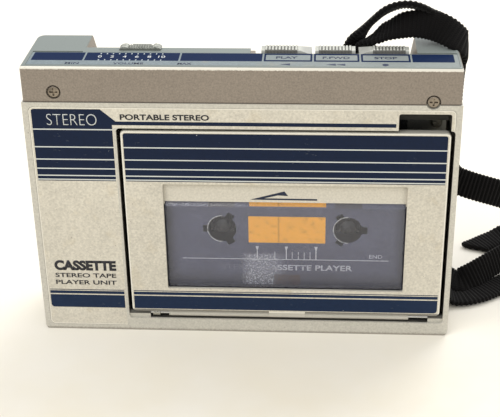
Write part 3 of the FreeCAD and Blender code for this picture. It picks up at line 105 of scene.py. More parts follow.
# ---------------------------------------------------------------- settings
def colour_setting(name, text, paint):
    """Colour that a user may change."""
    return bpy.props.FloatVectorProperty(name=name, description=text, default=paint, size=3, min=0.0,
                                         max=1.0, subtype="COLOR")


def length_setting(name, text, value):
    """Length that a user may change, in metres."""
    return bpy.props.FloatProperty(name=name, description=text, default=value, min=0.0, unit="LENGTH")


class PlayerColours(bpy.types.PropertyGroup):
    """Paints, inks and plastics of the player."""
    silver: colour_setting("Case silver", "Lacquer of the lower case", display(199, 196, 186))
    cap: colour_setting("Cap silver", "Darker lacquer of the top cap", display(140, 130, 119))
    sheet: colour_setting("Trim sheet", "Bare satin sheet of the front", display(208, 203, 190))
    navy: colour_setting("Navy ink", "Printed fields and stripes", display(8, 26, 54))
    navy_low: colour_setting("Lower navy ink", "Printed bands at the foot of the front", display(22, 40, 68))
    pale: colour_setting("Pale ink", "Thin lines between the stripes", display(208, 212, 210))
    label: colour_setting("Label sheet", "Bluish satin sheet on the cap", display(128, 139, 144))
    label_blue: colour_setting("Label ink", "Blue blocks on the cap", display(0, 27, 66))
    key: colour_setting("Key grey", "Lacquer of the keys", display(165, 166, 160))
    knob: colour_setting("Knob grey", "Lacquer of the volume knob", display(104, 107, 102))
    film: colour_setting("Window film", "Printed sheet behind the window", display(88, 90, 112))
    orange: colour_setting("Orange ink", "Orange field of the window film", display(252, 182, 62))
    webbing: colour_setting("Webbing", "Woven strap", display(6, 5, 5))
    floor: colour_setting("Floor", "Pale ground", display(240, 236, 226))


class PlayerSizes(bpy.types.PropertyGroup):
    """Sizes of the pieces that are modelled on the frame."""
    print_height: length_setting("Print height", "How far raised print stands proud", 0.00004)
    film_thickness: length_setting("Film thickness", "Printed sheet behind the window", 0.00018)
    strap_width: length_setting("Strap width", "Flat width of the webbing", 0.010)
    strap_thickness: length_setting("Strap thickness", "Webbing over its ribs", 0.0024)
    rib_pitch: length_setting("Rib pitch", "Distance between the strap's cross ribs", 0.0014)
    spring_wire: length_setting("Spring wire", "Wire radius of the key springs", 0.00022)


# ---------------------------------------------------------------- shader arithmetic
class Value:
    """A socket of a shader; an expression on values adds the nodes that work it out."""

    def __init__(self, shader, socket):
        self.shader = shader
        self.socket = socket

    def __add__(self, other):
        return self.shader.math("ADD", self, other)

    __radd__ = __add__

    def __mul__(self, other):
        return self.shader.math("MULTIPLY", self, other)

    __rmul__ = __mul__

    def __sub__(self, other):
        return self.shader.math("SUBTRACT", self, other)

    def __rsub__(self, other):
        return self.shader.math("SUBTRACT", other, self)

    def __gt__(self, other):
        return self.shader.math("GREATER_THAN", self, other)

    def __lt__(self, other):
        return self.shader.math("LESS_THAN", self, other)


class Shader:
    """A material whose Principled node is fed by expressions on object coordinates."""

    def __init__(self, name, **finish):
        self.material = bpy.data.materials.new(name)
        self.material.use_nodes = True
        self.tree = self.material.node_tree
        self.tree.nodes.clear()
        self.output = self.node("ShaderNodeOutputMaterial")
        self.surface = self.node("ShaderNodeBsdfPrincipled")
        self.feed(self.output.inputs["Surface"], self.surface.outputs[0])
        self.set(**finish)

    def node(self, kind, settings=None, inputs=None):
        """Add a node, make its settings, then fill its sockets with values or links."""
        made = self.tree.nodes.new(kind)
        for key, value in (settings or {}).items():
            setattr(made, key, value)
        for key, value in (inputs or {}).items():
            self.feed(made.inputs[key], value)
        return made

    def feed(self, socket, value):
        """Link a value to a socket, or set the socket to a number or colour."""
        if isinstance(value, Value):
            value = value.socket
        if isinstance(value, bpy.types.NodeSocket):
            self.tree.links.new(value, socket)
        elif socket.type == "RGBA":
            socket.default_value = (*value[:3], 1.0)
        else:
            socket.default_value = value

    def set(self, **finish):
        """Set sockets of the Principled node; base_color stands for Base Color."""
        for key, value in finish.items():
            self.feed(self.surface.inputs[key.replace("_", " ").title().replace("Ior", "IOR")], value)
        return self

    def value(self, node, output=0):
        """One output of a node, for use in expressions."""
        return Value(self, node.outputs[output])

    def math(self, operation, first, second=0.0):
        """One Math node on two values or numbers."""
        return self.value(self.node("ShaderNodeMath", {"operation": operation}, {0: first, 1: second}))

    def smaller(self, first, second):
        return self.math("MINIMUM", first, second)

    def larger(self, first, second):
        return self.math("MAXIMUM", first, second)

    def any_of(self, masks):
        """1 where any of the masks is 1."""
        return functools.reduce(self.larger, masks)

    def size_of(self, value):
        """A value without its sign."""
        return self.math("ABSOLUTE", value)

    def mix(self, share, first, second):
        """Colour between two colours."""
        made = self.node("ShaderNodeMix", {"data_type": "RGBA"}, {0: share, 6: first, 7: second})
        return self.value(made, 2)

    def tint(self, colour, amount):
        """Colour scaled by a number, with Vector Math so that it stays a colour."""
        made = self.node("ShaderNodeVectorMath", {"operation": "SCALE"}, {0: colour, 3: amount})
        return self.value(made)

    def place(self):
        """Object coordinates in millimetres, as one vector and as x, y and z."""
        source = self.node("ShaderNodeTexCoord").outputs["Object"]
        vector = self.node("ShaderNodeVectorMath", {"operation": "SCALE"}, {0: source, 3: 1 / MM})
        parts = self.node("ShaderNodeSeparateXYZ", {}, {0: vector.outputs[0]})
        return vector.outputs[0], self.value(parts, 0), self.value(parts, 1), self.value(parts, 2)

    def noise(self, vector, per_mm, detail=2.0, stretch=(1, 1, 1)):
        """Soft noise from 0 to 1 with this many cells to a millimetre."""
        scaled = self.node("ShaderNodeVectorMath", {"operation": "MULTIPLY"}, {0: vector, 1: stretch})
        made = self.node("ShaderNodeTexNoise", {}, {"Vector": scaled.outputs[0], "Scale": per_mm,
                                                    "Detail": detail, "Roughness": 0.6})
        return self.value(made)

    def smooth(self, value, low, high, start=0.0, end=1.0):
        """Smooth step from start to end as the value goes from low to high."""
        made = self.node("ShaderNodeMapRange", {"interpolation_type": "SMOOTHSTEP"},
                         {0: value, 1: low, 2: high, 3: start, 4: end})
        return self.value(made)

    def spots(self, vector, per_mm, detail, low, high):
        """Soft-edged patches where a noise rises from one limit to the other."""
        return self.smooth(self.noise(vector, per_mm, detail), low, high)

    def band(self, value, low, high):
        """1 between two limits, else 0."""
        return self.size_of(value - (low + high) / 2) < (high - low) / 2

    def rect(self, x, z, x0, x1, z0, z1, radius=0.0):
        """1 inside a rectangle with rounded corners, else 0."""
        aside = self.larger(self.size_of(x - (x0 + x1) / 2) - ((x1 - x0) / 2 - radius), 0.0)
        above = self.larger(self.size_of(z - (z0 + z1) / 2) - ((z1 - z0) / 2 - radius), 0.0)
        return aside * aside + above * above < radius * radius + 1e-6

    def bump(self, height, distance, strength=1.0):
        """Feed the surface's normal with a relief of this height in metres."""
        made = self.node("ShaderNodeBump", {}, {"Strength": strength, "Distance": distance,
                                                "Height": height})
        self.feed(self.surface.inputs["Normal"], made.outputs[0])
        return self


# ---------------------------------------------------------------- finishes
def scratches(shader, vector, along, amount):
    """Thin random marks that run along one direction."""
    lines = shader.noise(vector, 1.0, 1.0, along)
    gaps = shader.noise(vector, 0.09, 2.0)
    return shader.smooth(lines, 0.70, 0.76) * shader.smooth(gaps, 0.52, 0.62) * amount


def lacquer(name, paint):
    """Silver or grey lacquer on a moulding: fine sparkle, faint blotches, grime towards the base."""
    shader = Shader(name, metallic=0.25)
    vector, x, y, z = shader.place()
    sparkle = shader.noise(vector, 1.7, 2.0)
    blotch = shader.noise(vector, 0.055, 3.0)
    worn = scratches(shader, vector, (0.5, 0.5, 7.0), 0.5)
    shade = 0.9 + sparkle * 0.2 + (blotch - 0.5) * 0.10 + worn * 0.2
    colour = shader.tint(tuple(paint), shade)
    grime = shader.smooth(z, 4.0, 0.0) * shader.spots(vector, 1.2, 4.0, 0.50, 0.70)
    specks = shader.spots(vector, 1.3, 1.0, 0.76, 0.80)
    stain = shader.larger(grime * 0.35, specks * 0.4)
    colour = shader.mix(stain, colour, display(104, 74, 44))
    shader.set(base_color=colour, roughness=0.42 + (sparkle - 0.5) * 0.16 - worn * 0.1)
    return shader.bump(sparkle, 0.00002, 0.5).material


def cap_finish(colours):
    """Lacquer of the cap: bluish on top, dark at the seam, and a painted highlight along the front edge."""
    shader = Shader("cap lacquer", metallic=0.2)
    vector, x, y, z = shader.place()
    sparkle = shader.noise(vector, 1.7, 2.0)
    blotch = shader.noise(vector, 0.05, 3.0)
    rough = shader.noise(vector, 1.4, 3.0)
    colour = shader.tint(tuple(colours.cap), 0.50 + sparkle * 0.85 + blotch * 0.16)
    upper = shader.smooth(z, CAP_HIGH.z - 0.6, CAP_HIGH.z - 0.2)
    colour = shader.mix(upper, colour, display(126, 134, 131))
    front = y < LABEL_LOW.y
    # Painted highlight: a bright band along the cap's rounded front top edge, broken up by noise, with lower
    # roughness.
    lightened = front * shader.smooth(z + rough * 0.5, CAP_HIGH.z - 1.05, CAP_HIGH.z - 0.85)
    lightened = lightened * shader.smooth(z, CAP_HIGH.z - 0.3, CAP_HIGH.z - 0.5)
    colour = shader.mix(lightened, colour, display(232, 228, 216))
    seam = shader.smooth(z, CAP_LOW.z + 0.55, CAP_LOW.z + 0.15)
    colour = shader.mix(seam * 0.75, colour, display(60, 52, 44))
    specks = shader.spots(vector, 1.3, 1.0, 0.75, 0.79) * 0.5
    colour = shader.mix(specks, colour, display(92, 74, 58))
    shader.set(base_color=colour, roughness=0.44 + (sparkle - 0.5) * 0.15 - lightened * 0.12)
    return shader.bump(sparkle, 0.00002, 0.5).material


def sill_finish(colours):
    """Silver sill above the window, dark in the thin rim that holds the window."""
    shader = Shader("sill lacquer", specular_ior_level=0.2)
    vector, x, y, z = shader.place()
    grain = shader.noise(vector, 1.5, 3.0)
    colour = shader.tint(tuple(colours.sheet), 0.76 + grain * 0.5)
    aside = shader.size_of(x - (BEZEL_LOW.x + BEZEL_HIGH.x) / 2)
    ends = shader.smooth(aside, 38.0, 40.3) * 0.22
    top = shader.smooth(z, BEZEL_HIGH.z - 1.4, BEZEL_HIGH.z - 0.1) * 0.25
    colour = shader.mix(ends + top, colour, display(120, 112, 98))
    colour = shader.mix(z < LENS_HIGH.z - 1.0, colour, display(30, 30, 36))
    shader.set(base_color=colour, roughness=0.5 + grain * 0.1)
    return shader.bump(grain, 0.00002, 0.4).material


def case_finish(colours):
    """Lacquer of the lower case: a painted highlight along the top edge, painted shade in the opening behind
    the door, and a foot darkened by grime and by painted contact shade.
    """
    shader = Shader("case lacquer", metallic=0.2, specular_ior_level=0.3)
    vector, x, y, z = shader.place()
    sparkle = shader.noise(vector, 1.7, 2.0)
    blotch = shader.noise(vector, 0.055, 3.0)
    rough = shader.noise(vector, 1.2, 4.0)
    colour = shader.tint(tuple(colours.silver), 0.68 + sparkle * 0.54 + blotch * 0.10)
    # Painted highlight: a bright line just under the top edge of the case.
    top_edge_highlight = shader.smooth(z, CASE_HIGH.z - 0.55, CASE_HIGH.z - 0.3)
    colour = shader.mix(top_edge_highlight * 0.8, colour, display(236, 232, 216))
    # Painted shade: the surfaces behind the front, round the door's opening, are painted nearly black.
    mouth_shade = shader.band(x, DOOR_LOW.x - 1.6, DOOR_HIGH.x + 1.6) * (y > FRONT_Y + 0.75)
    mouth_shade = mouth_shade * shader.band(z, DOOR_LOW.z - 3.2, DOOR_HIGH.z + 8.0)
    colour = shader.mix(mouth_shade * 0.86, colour, display(30, 28, 26))
    # Painted contact shade: a dark band along the base, ragged by noise; the stains and specks that follow
    # are grime.
    foot = shader.smooth(z + rough * 1.2, 1.7, 0.9) * 0.5
    stains = shader.smooth(rough, 0.66, 0.74) * shader.smooth(z, 7.0, 1.0)
    specks = shader.spots(vector, 1.3, 1.0, 0.76, 0.80) * 0.4
    dirt_and_foot_shade = shader.larger(foot, shader.larger(stains * 0.4, specks))
    colour = shader.mix(dirt_and_foot_shade, colour, display(88, 76, 60))
    shader.set(base_color=colour, roughness=0.42 + (sparkle - 0.5) * 0.16)
    return shader.bump(sparkle, 0.00002, 0.5).material


def satin_sheet(shader, paint, vector):
    """Colour and relief of bare satin sheet: grain, faint handling marks and small specks."""
    grain = shader.noise(vector, 1.5, 3.0)
    cloud = shader.noise(vector, 0.04, 4.0)
    marks = scratches(shader, vector, (7.0, 1.0, 0.6), 1.0)
    rubs = scratches(shader, vector, (0.8, 1.0, 6.0), 1.0)
    shade = 0.62 + grain * 0.76 + (cloud - 0.5) * 0.34 - marks * 0.12 - rubs * 0.10
    colour = shader.tint(tuple(paint), shade)
    yellow = shader.spots(vector, 0.12, 3.0, 0.55, 0.75) * 0.22
    colour = shader.mix(yellow, colour, display(190, 172, 132))
    specks = shader.spots(vector, 1.1, 1.0, 0.77, 0.80) * 0.5
    return shader.mix(specks, colour, display(120, 104, 84)), grain


# heights of the pale lines and ends of the printed fields, from the top of the door's sheet
LINE_DROPS = (5.75, 10.2, 13.55, 16.1, 17.55)
LINE_HALF = 0.2
FIELD_DROP = 18.05
FIELD_MARGIN = 0.85
TAB_LINE = DOOR_HIGH.z + 0.55
TAB_TOP = TRIM_HIGH.z - 0.55
TAB_SLOPE_X = TRIM_LOW.x + 23.3
TAB_SLOPE = 0.867
STRIP_LOW = TRIM_HIGH.z - 6.05
STRIP_HIGH = TRIM_HIGH.z - 4.75
STRIP_END = TRIM_HIGH.x - 18.7
COLUMN_LEFT = TRIM_LOW.x + FIELD_MARGIN
COLUMN_RIGHT = DOOR_LOW.x - 2.5
# bands at the foot, from the lower edge of the door's sheet
FOOT_LINE = (8.0, 8.3)
FOOT_BAND = (6.55, 7.7)
FOOT_BLOCK = (0.95, 6.1)
FOOT_CORNER = 1.2
EDGE_LINE = 0.32
THUMB_TAB = (5.5, 7.0)


def foot_bands(shader, x, z, left, right, round_left):
    """Bands at the foot: hairline, narrow band, and a block with one rounded corner."""
    base = DOOR_LOW.z
    across = shader.band(x, left, right)
    thin = shader.larger(shader.band(z, base + FOOT_LINE[0], base + FOOT_LINE[1]),
                         shader.band(z, base + FOOT_BAND[0], base + FOOT_BAND[1]))
    far = 2 * FOOT_CORNER
    x0 = left if round_left else left - far
    x1 = right + far if round_left else right
    block = shader.rect(x, z, x0, x1, base + FOOT_BLOCK[0], base + FOOT_BLOCK[1] + far, FOOT_CORNER)
    block = block * (z < base + FOOT_BLOCK[1])
    return across * shader.larger(thin, block)


def pale_lines(shader, z, extra=()):
    """Thin lines that divide the fields, with the heights given in millimetres."""
    heights = [DOOR_HIGH.z - drop for drop in LINE_DROPS] + list(extra)
    return shader.any_of(shader.band(z, height - LINE_HALF, height + LINE_HALF) for height in heights)


def door_hem(shader, x, z):
    """Shaded hem along the door's foot, left bright over the thumb tab."""
    middle = (DOOR_LOW.x + DOOR_HIGH.x) / 2
    tab = shader.band(x, middle - THUMB_TAB[0], middle + THUMB_TAB[1])
    return (z < DOOR_LOW.z + FOOT_BLOCK[0] - 0.25) * (1.0 - tab)


def printed_sheet(shader, vector, colours, field, lines, foot, edge_highlight, hem):
    """Satin sheet with navy fields, pale lines, the lower bands, a painted highlight along its edge and
    painted shade along the door's foot.
    """
    metal, grain = satin_sheet(shader, colours.sheet, vector)
    # Painted highlight along the cut edge of the sheet.
    metal = shader.mix(edge_highlight, metal, display(238, 235, 224))
    thin = shader.noise(vector, 0.9, 2.0)
    ink = shader.tint(tuple(colours.navy), 0.8 + thin * 0.4)
    low_ink = shader.tint(tuple(colours.navy_low), 0.85 + thin * 0.3)
    chips = shader.spots(vector, 0.8, 3.0, 0.735, 0.76)
    hairlines = scratches(shader, vector, (0.4, 1.0, 9.0), 1.0)
    colour = shader.mix(field, metal, ink)
    colour = shader.mix(foot, colour, low_ink)
    colour = shader.mix(field * lines, colour, tuple(colours.pale))
    inked = shader.larger(field, foot)
    colour = shader.mix(inked * shader.larger(chips, hairlines * 0.35), colour, tuple(colours.pale))
    # Painted shade along the door's lower edge.
    colour = shader.mix(hem, colour, display(66, 62, 56))
    shader.set(base_color=colour, roughness=0.40 + grain * 0.10 - inked * 0.10, metallic=0.15 - inked * 0.15)
    return shader.bump(grain + inked * 0.6, 0.00001, 0.6).material


def column_print(colours):
    """Trim sheet of the case: tab with its slope, strip line, left column and lower bands."""
    shader = Shader("column print", specular_ior_level=0.18)
    vector, x, y, z = shader.place()
    slope = shader.smaller(TAB_TOP, TAB_TOP - (x - TAB_SLOPE_X) * TAB_SLOPE)
    tab = shader.band(x, COLUMN_LEFT, STRIP_END) * (z > STRIP_LOW) * (z < shader.larger(slope, STRIP_HIGH))
    corner = shader.rect(x, z, COLUMN_LEFT, STRIP_END + 9, STRIP_LOW - 9, TAB_TOP, 0.9)
    column = shader.rect(x, z, COLUMN_LEFT, COLUMN_RIGHT, DOOR_HIGH.z - FIELD_DROP, STRIP_LOW + 0.1)
    lines = pale_lines(shader, z, (TAB_LINE,)) * shader.band(x, COLUMN_LEFT, COLUMN_RIGHT)
    foot = foot_bands(shader, x, z, COLUMN_LEFT - 0.1, COLUMN_RIGHT - 0.1, True)
    field = shader.larger(tab * corner, column)
    edge_highlight = 1.0 - shader.rect(x, z, TRIM_LOW.x + EDGE_LINE, TRIM_HIGH.x - EDGE_LINE, TRIM_LOW.z + EDGE_LINE,
                               TRIM_HIGH.z - EDGE_LINE, 1.2)
    return printed_sheet(shader, vector, colours, field, lines, foot, edge_highlight * 0.7, 0.0)


def door_print(colours):
    """Trim sheet of the door: striped field above the window and the lower bands."""
    shader = Shader("door print", specular_ior_level=0.18)
    vector, x, y, z = shader.place()
    left = DOOR_LOW.x + 0.7
    right = DOOR_HIGH.x - 0.8
    top = DOOR_HIGH.z - 0.6
    end = DOOR_HIGH.z - FIELD_DROP
    field = shader.rect(x, z, left, right, end - 5, top, 0.8) * (z > end)
    foot = foot_bands(shader, x, z, left, right, False)
    edge_highlight = 1.0 - shader.rect(x, z, DOOR_LOW.x + EDGE_LINE, DOOR_HIGH.x - EDGE_LINE, DOOR_LOW.z + EDGE_LINE,
                               DOOR_HIGH.z - EDGE_LINE, 1.0)
    hem = door_hem(shader, x, z) * 0.72
    return printed_sheet(shader, vector, colours, field, pale_lines(shader, z), foot, edge_highlight, hem)


# depths of the label's print, from its front edge, and its blocks along X
LABEL_BAND = (3.7, 10.7)
LABEL_FRAME = 0.6
TICK_ROWS = (4.3, 9.8)
TICK_PITCH = 2.0
TICKS = 11
TICK_START = KNOB_LOW.x - 5.4


def label_print(colours):
    """Label sheet: blue blocks, key boxes with a blue outline and volume ticks."""
    shader = Shader("label print", specular_ior_level=0.05)
    vector, x, y, z = shader.place()
    metal, grain = satin_sheet(shader, colours.label, vector)
    warm = shader.smooth(x, -40.0, 60.0)
    metal = shader.mix(warm * 0.5, metal, display(150, 152, 144))
    low = LABEL_LOW.y + LABEL_BAND[0]
    high = LABEL_LOW.y + LABEL_BAND[1]
    play, ffwd, stop = (KEYS[name] for name in ("play", "ffwd", "stop"))
    starts = (LABEL_LOW.x + 0.8, LABEL_LOW.x + 18.0, KNOB_HIGH.x + 7.2, play[0].x + 1.1, ffwd[0].x - 0.3,
              stop[0].x + 0.5, stop[1].x + 0.6)
    ends = [start - 0.55 for start in starts[1:]] + [LABEL_HIGH.x - 1.3]
    blocks = shader.any_of(shader.rect(x, y, start, end, low, high, 0.3) for start, end in zip(starts, ends))
    for start, end in list(zip(starts, ends))[3:6]:
        inner = shader.rect(x, y, start + LABEL_FRAME, end - LABEL_FRAME, low + 1.2, high - 1.2, 0.2)
        blocks = blocks * (1.0 - inner)
    phase = shader.math("PINGPONG", x - (TICK_START - TICK_PITCH), TICK_PITCH / 2)
    tick_x = (phase < 0.2) * shader.band(x, TICK_START - 0.5, TICK_START + (TICKS - 1) * TICK_PITCH + 0.5)
    depths = [LABEL_LOW.y + row for row in TICK_ROWS]
    rows = shader.any_of(shader.band(y, depth - 0.5, depth + 0.5) for depth in depths)
    ink = shader.tint(tuple(colours.label_blue), 0.85 + grain * 0.3)
    colour = shader.mix(blocks, metal, ink)
    colour = shader.mix(tick_x * rows, colour, display(170, 178, 180))
    rub = shader.spots(vector, 0.7, 3.0, 0.72, 0.76)
    colour = shader.mix(rub * 0.35, colour, display(150, 156, 158))
    shader.set(base_color=colour, roughness=0.42 + grain * 0.10, metallic=0.15 - blocks * 0.15)
    return shader.bump(grain + blocks * 0.5, 0.00001, 0.5).material


def worn_crest(name, paint, crest_z, roughness=0.38, ribs=()):
    """Grey lacquer, worn paler towards the crests that fingers touch, with painted shade lower down and below
    the rib crests.
    """
    shader = Shader(name, metallic=0.2)
    vector, x, y, z = shader.place()
    sparkle = shader.noise(vector, 4.0, 2.0)
    colour = shader.tint(tuple(paint), 0.92 + sparkle * 0.16)
    touched = shader.spots(vector, 0.8, 3.0, 0.3, 0.6)
    lightened = shader.smooth(z, crest_z - 1.1, crest_z) * touched
    colour = shader.mix(lightened * 0.55, colour, display(214, 216, 204))
    # Painted shade: darker lower down, where the keys and the knob stand in their recess, and below the
    # crests of the ribs.
    dark = shader.smooth(z, crest_z - 2.2, crest_z - 5.5) * 0.5
    for start, end in ribs:
        groove = shader.smooth(z, crest_z - 0.1, crest_z - 0.22)
        dark = shader.larger(dark, shader.band(x, start, end) * groove * 0.8)
    colour = shader.mix(dark, colour, display(62, 60, 56))
    shader.set(base_color=colour, roughness=roughness + (sparkle - 0.5) * 0.15)
    return shader.bump(sparkle, 0.00002, 0.4).material


def metal(name, paint, roughness=0.28, along=(9.0, 1.0, 1.0), tarnish=0.25):
    """Bare or plated metal with drawn lines and a little tarnish."""
    shader = Shader(name, metallic=1.0)
    vector, x, y, z = shader.place()
    drawn = shader.noise(vector, 1.2, 3.0, along)
    dull = shader.spots(vector, 0.25, 4.0, 0.45, 0.7) * tarnish
    colour = shader.tint(tuple(paint), 0.88 + drawn * 0.2)
    colour = shader.mix(dull, colour, tuple(0.35 * part for part in paint))
    shader.set(base_color=colour, roughness=roughness + drawn * 0.12 + dull * 0.3)
    return shader.bump(drawn, 0.00001, 0.4).material


def moulded(name, paint, roughness=0.45, grain=0.06):
    """Plain moulded plastic or rubber with a fine spark-eroded grain."""
    shader = Shader(name)
    vector, x, y, z = shader.place()
    grains = shader.noise(vector, 2.6, 3.0)
    cloud = shader.noise(vector, 0.08, 2.0)
    colour = shader.tint(tuple(paint), (1.0 - grain) + grains * grain + cloud * grain)
    dust = shader.spots(vector, 0.4, 4.0, 0.55, 0.75) * 0.12
    colour = shader.mix(dust, colour, display(150, 146, 138))
    shader.set(base_color=colour, roughness=roughness + grains * 0.12)
    return shader.bump(grains, 0.00003, 0.4).material


def board_finish():
    """Tan laminate board whose back carries copper tracks under lacquer."""
    shader = Shader("board laminate", coat_weight=0.3)
    vector, x, y, z = shader.place()
    fibre = shader.noise(vector, 1.5, 3.0, (1.0, 1.0, 6.0))
    colour = shader.tint(display(150, 112, 58), 0.8 + fibre * 0.4)
    lanes = shader.noise(vector, 0.16, 0.0, (1.0, 0.0, 2.2))
    tracks = shader.smooth(shader.math("PINGPONG", lanes * 14.0, 0.5), 0.22, 0.27)
    back = y > corners("circuit_board")[1].y - 0.05
    colour = shader.mix(tracks * back, colour, display(176, 128, 60))
    shader.set(base_color=colour, roughness=0.4 + fibre * 0.1)
    return shader.bump(fibre + tracks * back, 0.00002, 0.4).material


def component_finish():
    """Sleeved capacitors, a black chip and a trimmer, told apart by where they stand."""
    shader = Shader("component sleeves", coat_weight=0.4)
    vector, x, y, z = shader.place()
    low, high = corners("board_parts")
    middle = (low.x + high.x) / 2
    chip = shader.band(x, middle - 7.5, middle + 6.5)
    colour = shader.mix(chip, display(30, 52, 110), display(22, 22, 24))
    colour = shader.mix(x > high.x - 16, colour, display(150, 110, 40))
    tops = y < low.y + 0.6
    colour = shader.mix(tops * (1.0 - chip), colour, display(176, 178, 180))
    grain = shader.noise(vector, 2.0, 2.0)
    colour = shader.mix(grain * 0.15, colour, display(90, 90, 90))
    shader.set(base_color=colour, roughness=0.3 + grain * 0.15)
    return shader.bump(grain, 0.00002, 0.3).material


def cell_finish():
    """Printed steel cells: dark jacket with a copper-coloured top band and bare ends."""
    shader = Shader("cell jacket", coat_weight=0.5)
    vector, x, y, z = shader.place()
    low, high = corners("battery_cells")
    upper = z > high.z - 16
    colour = shader.mix(upper, display(24, 24, 28), display(188, 112, 52))
    ends = shader.larger(z > high.z - 1.6, z < low.z + 1.2)
    colour = shader.mix(ends, colour, display(190, 188, 182))
    scuff = shader.noise(vector, 1.2, 4.0)
    colour = shader.mix(shader.smooth(scuff, 0.62, 0.7) * 0.4, colour, display(160, 156, 150))
    shader.set(base_color=colour, roughness=0.3 + scuff * 0.15, metallic=ends * 0.8)
    return shader.bump(scuff, 0.00002, 0.2).material


def window_glass():
    """Clear moulding: it lets light through, mirrors by its angle and carries dust and scuffs."""
    shader = Shader("clear window", base_color=display(150, 152, 168), roughness=0.6)
    vector, x, y, z = shader.place()
    clear = shader.node("ShaderNodeBsdfTransparent", {}, {"Color": (0.97, 0.975, 0.99)})
    mirror = shader.node("ShaderNodeBsdfGlossy", {}, {"Color": (1.0, 1.0, 1.0), "Roughness": 0.08})
    slant = shader.value(shader.node("ShaderNodeLayerWeight", {}, {"Blend": 0.5}), 1)
    pane = shader.node("ShaderNodeMixShader", {}, {0: 0.03 + slant * slant * slant * 0.4,
                                                   1: clear.outputs[0], 2: mirror.outputs[0]})
    haze = shader.noise(vector, 0.10, 4.0)
    fine = scratches(shader, vector, (6.0, 1.0, 0.5), 1.0)
    steep = scratches(shader, vector, (0.5, 1.0, 6.0), 1.0)
    edge = shader.smooth(shader.size_of(z - (LENS_HIGH.z - 1.0)), 1.2, 0.2)
    lightened = shader.spots(vector, 0.9, 3.0, 0.50, 0.62) * edge
    lightened = lightened * shader.smooth(x, LENS_LOW.x + 30, LENS_LOW.x + 8)
    settled = shader.spots(vector, 0.7, 3.0, 0.45, 0.6)
    foot = shader.smooth(z, LENS_LOW.z + 2.0, LENS_LOW.z) * settled
    dust = 0.03 + haze * 0.05 + shader.larger(fine, steep) * 0.12 + lightened * 0.55 + foot * 0.18
    final = shader.node("ShaderNodeMixShader", {}, {0: dust, 1: pane.outputs[0],
                                                    2: shader.surface.outputs[0]})
    shader.feed(shader.output.inputs["Surface"], final.outputs[0])
    return shader.material


# fields of the window film, in millimetres from the print's own corner
FILM_X = LENS_LOW.x + 0.7
FILM_Z = LENS_LOW.z + 0.8
ORANGE_X = (FILM_X + 27.0, FILM_X + 53.0)
ORANGE_Z = (FILM_Z + 15.7, FILM_Z + 25.8)
BEVEL_Z = (FILM_Z + 29.6, FILM_Z + 31.3)
RUB_X = (FILM_X + 23.5, FILM_X + 41.0)
RUB_FADE = (RUB_X[1] - 9, RUB_X[1] - 3)
RUB_TOP = FILM_Z + 10.5
SMUDGE_X = (FILM_X + 35.6, FILM_X + 44.5)


def film_print(colours):
    """Blue-grey printed film: orange field with painted shade along a fold, painted shade towards its foot
    and ends, a top band with painted light and a painted refraction of the orange field and the hub openings
    as seen through the window's bevel, a worn paler patch and a brown smudge.
    """
    shader = Shader("window film", coat_weight=0.15)
    vector, x, y, z = shader.place()
    grain = shader.noise(vector, 1.3, 3.0)
    cloud = shader.noise(vector, 0.09, 4.0)
    colour = shader.tint(tuple(colours.film), grain * 1.1 + cloud * 0.70)
    shade = shader.larger(shader.smooth(z, FILM_Z + 6, FILM_Z - 0.6),
                          shader.smooth(shader.size_of(x - (LENS_LOW.x + LENS_HIGH.x) / 2), 36.0, 40.5))
    colour = shader.mix(shade * 0.62, colour, display(26, 26, 32))
    # Painted refraction: the orange strip along the top is the orange field as seen through the window's top
    # bevel.
    strip = shader.rect(x, z, ORANGE_X[0] + 0.4, ORANGE_X[1] + 0.1, *BEVEL_Z, 0.1)
    field = shader.rect(x, z, *ORANGE_X, *ORANGE_Z, 0.3)
    # Painted shade along a fold in the orange field.
    crease_shade = shader.smooth(shader.size_of(x - (ORANGE_X[0] + 10.2)), 0.5, 0.05) * 0.3
    worn = shader.spots(vector, 0.35, 4.0, 0.50, 0.72) * 0.25
    orange = shader.tint(tuple(colours.orange), 0.84 + cloud * 0.22 + grain * 0.16 - crease_shade - worn)
    colour = shader.mix(shader.larger(field, strip), colour, orange)
    # Painted light and painted refraction under the window's top bevel: the band is lit, and the hub openings
    # show in it as dark patches.
    bevel = z > BEVEL_Z[0] - 0.4
    lit = bevel * (1.0 - strip)
    colour = shader.mix(lit * 0.35, colour, display(120, 124, 150))
    for hub in (HUB_LEFT, HUB_RIGHT):
        patch = shader.band(x, hub[0] - 4.5, hub[0] + 4.5) * bevel
        colour = shader.mix(patch * 0.6, colour, display(70, 62, 54))
    speckle = shader.spots(vector, 1.7, 3.0, 0.50, 0.60)
    rub = shader.smooth(z, RUB_TOP + 1.5, RUB_TOP) * shader.smooth(x, RUB_X[0], RUB_X[0] + 4)
    rub = rub * shader.smooth(x, RUB_X[1], RUB_X[1] - 8)
    colour = shader.mix(rub * (0.22 + speckle * 0.70), colour, display(196, 198, 206))
    smudge = shader.band(x, *SMUDGE_X) * (z < FILM_Z + 3.2) * shader.smooth(speckle + cloud, 0.3, 0.8)
    colour = shader.mix(smudge * 0.9, colour, display(70, 40, 24))
    shader.set(base_color=colour, roughness=0.5 + grain * 0.15)
    return shader.bump(grain, 0.00001, 0.3).material


def ink(name, paint, wear=0.0, roughness=0.45, fade=None):
    """Printing ink on a thin raised piece, broken up where it is worn and faded between two places in x."""
    shader = Shader(name)
    vector, x, y, z = shader.place()
    cover = shader.noise(vector, 1.1, 3.0)
    colour = shader.tint(tuple(paint), 0.92 + cover * 0.16)
    if wear:
        kept = shader.smooth(cover, wear - 0.16, wear + 0.06, 0.12, 0.9)
        shader.set(alpha=kept * shader.smooth(x, *fade, 0.15, 1.0) if fade else kept)
    shader.set(base_color=colour, roughness=roughness + cover * 0.1)
    return shader.bump(cover, 0.00001, 0.3).material


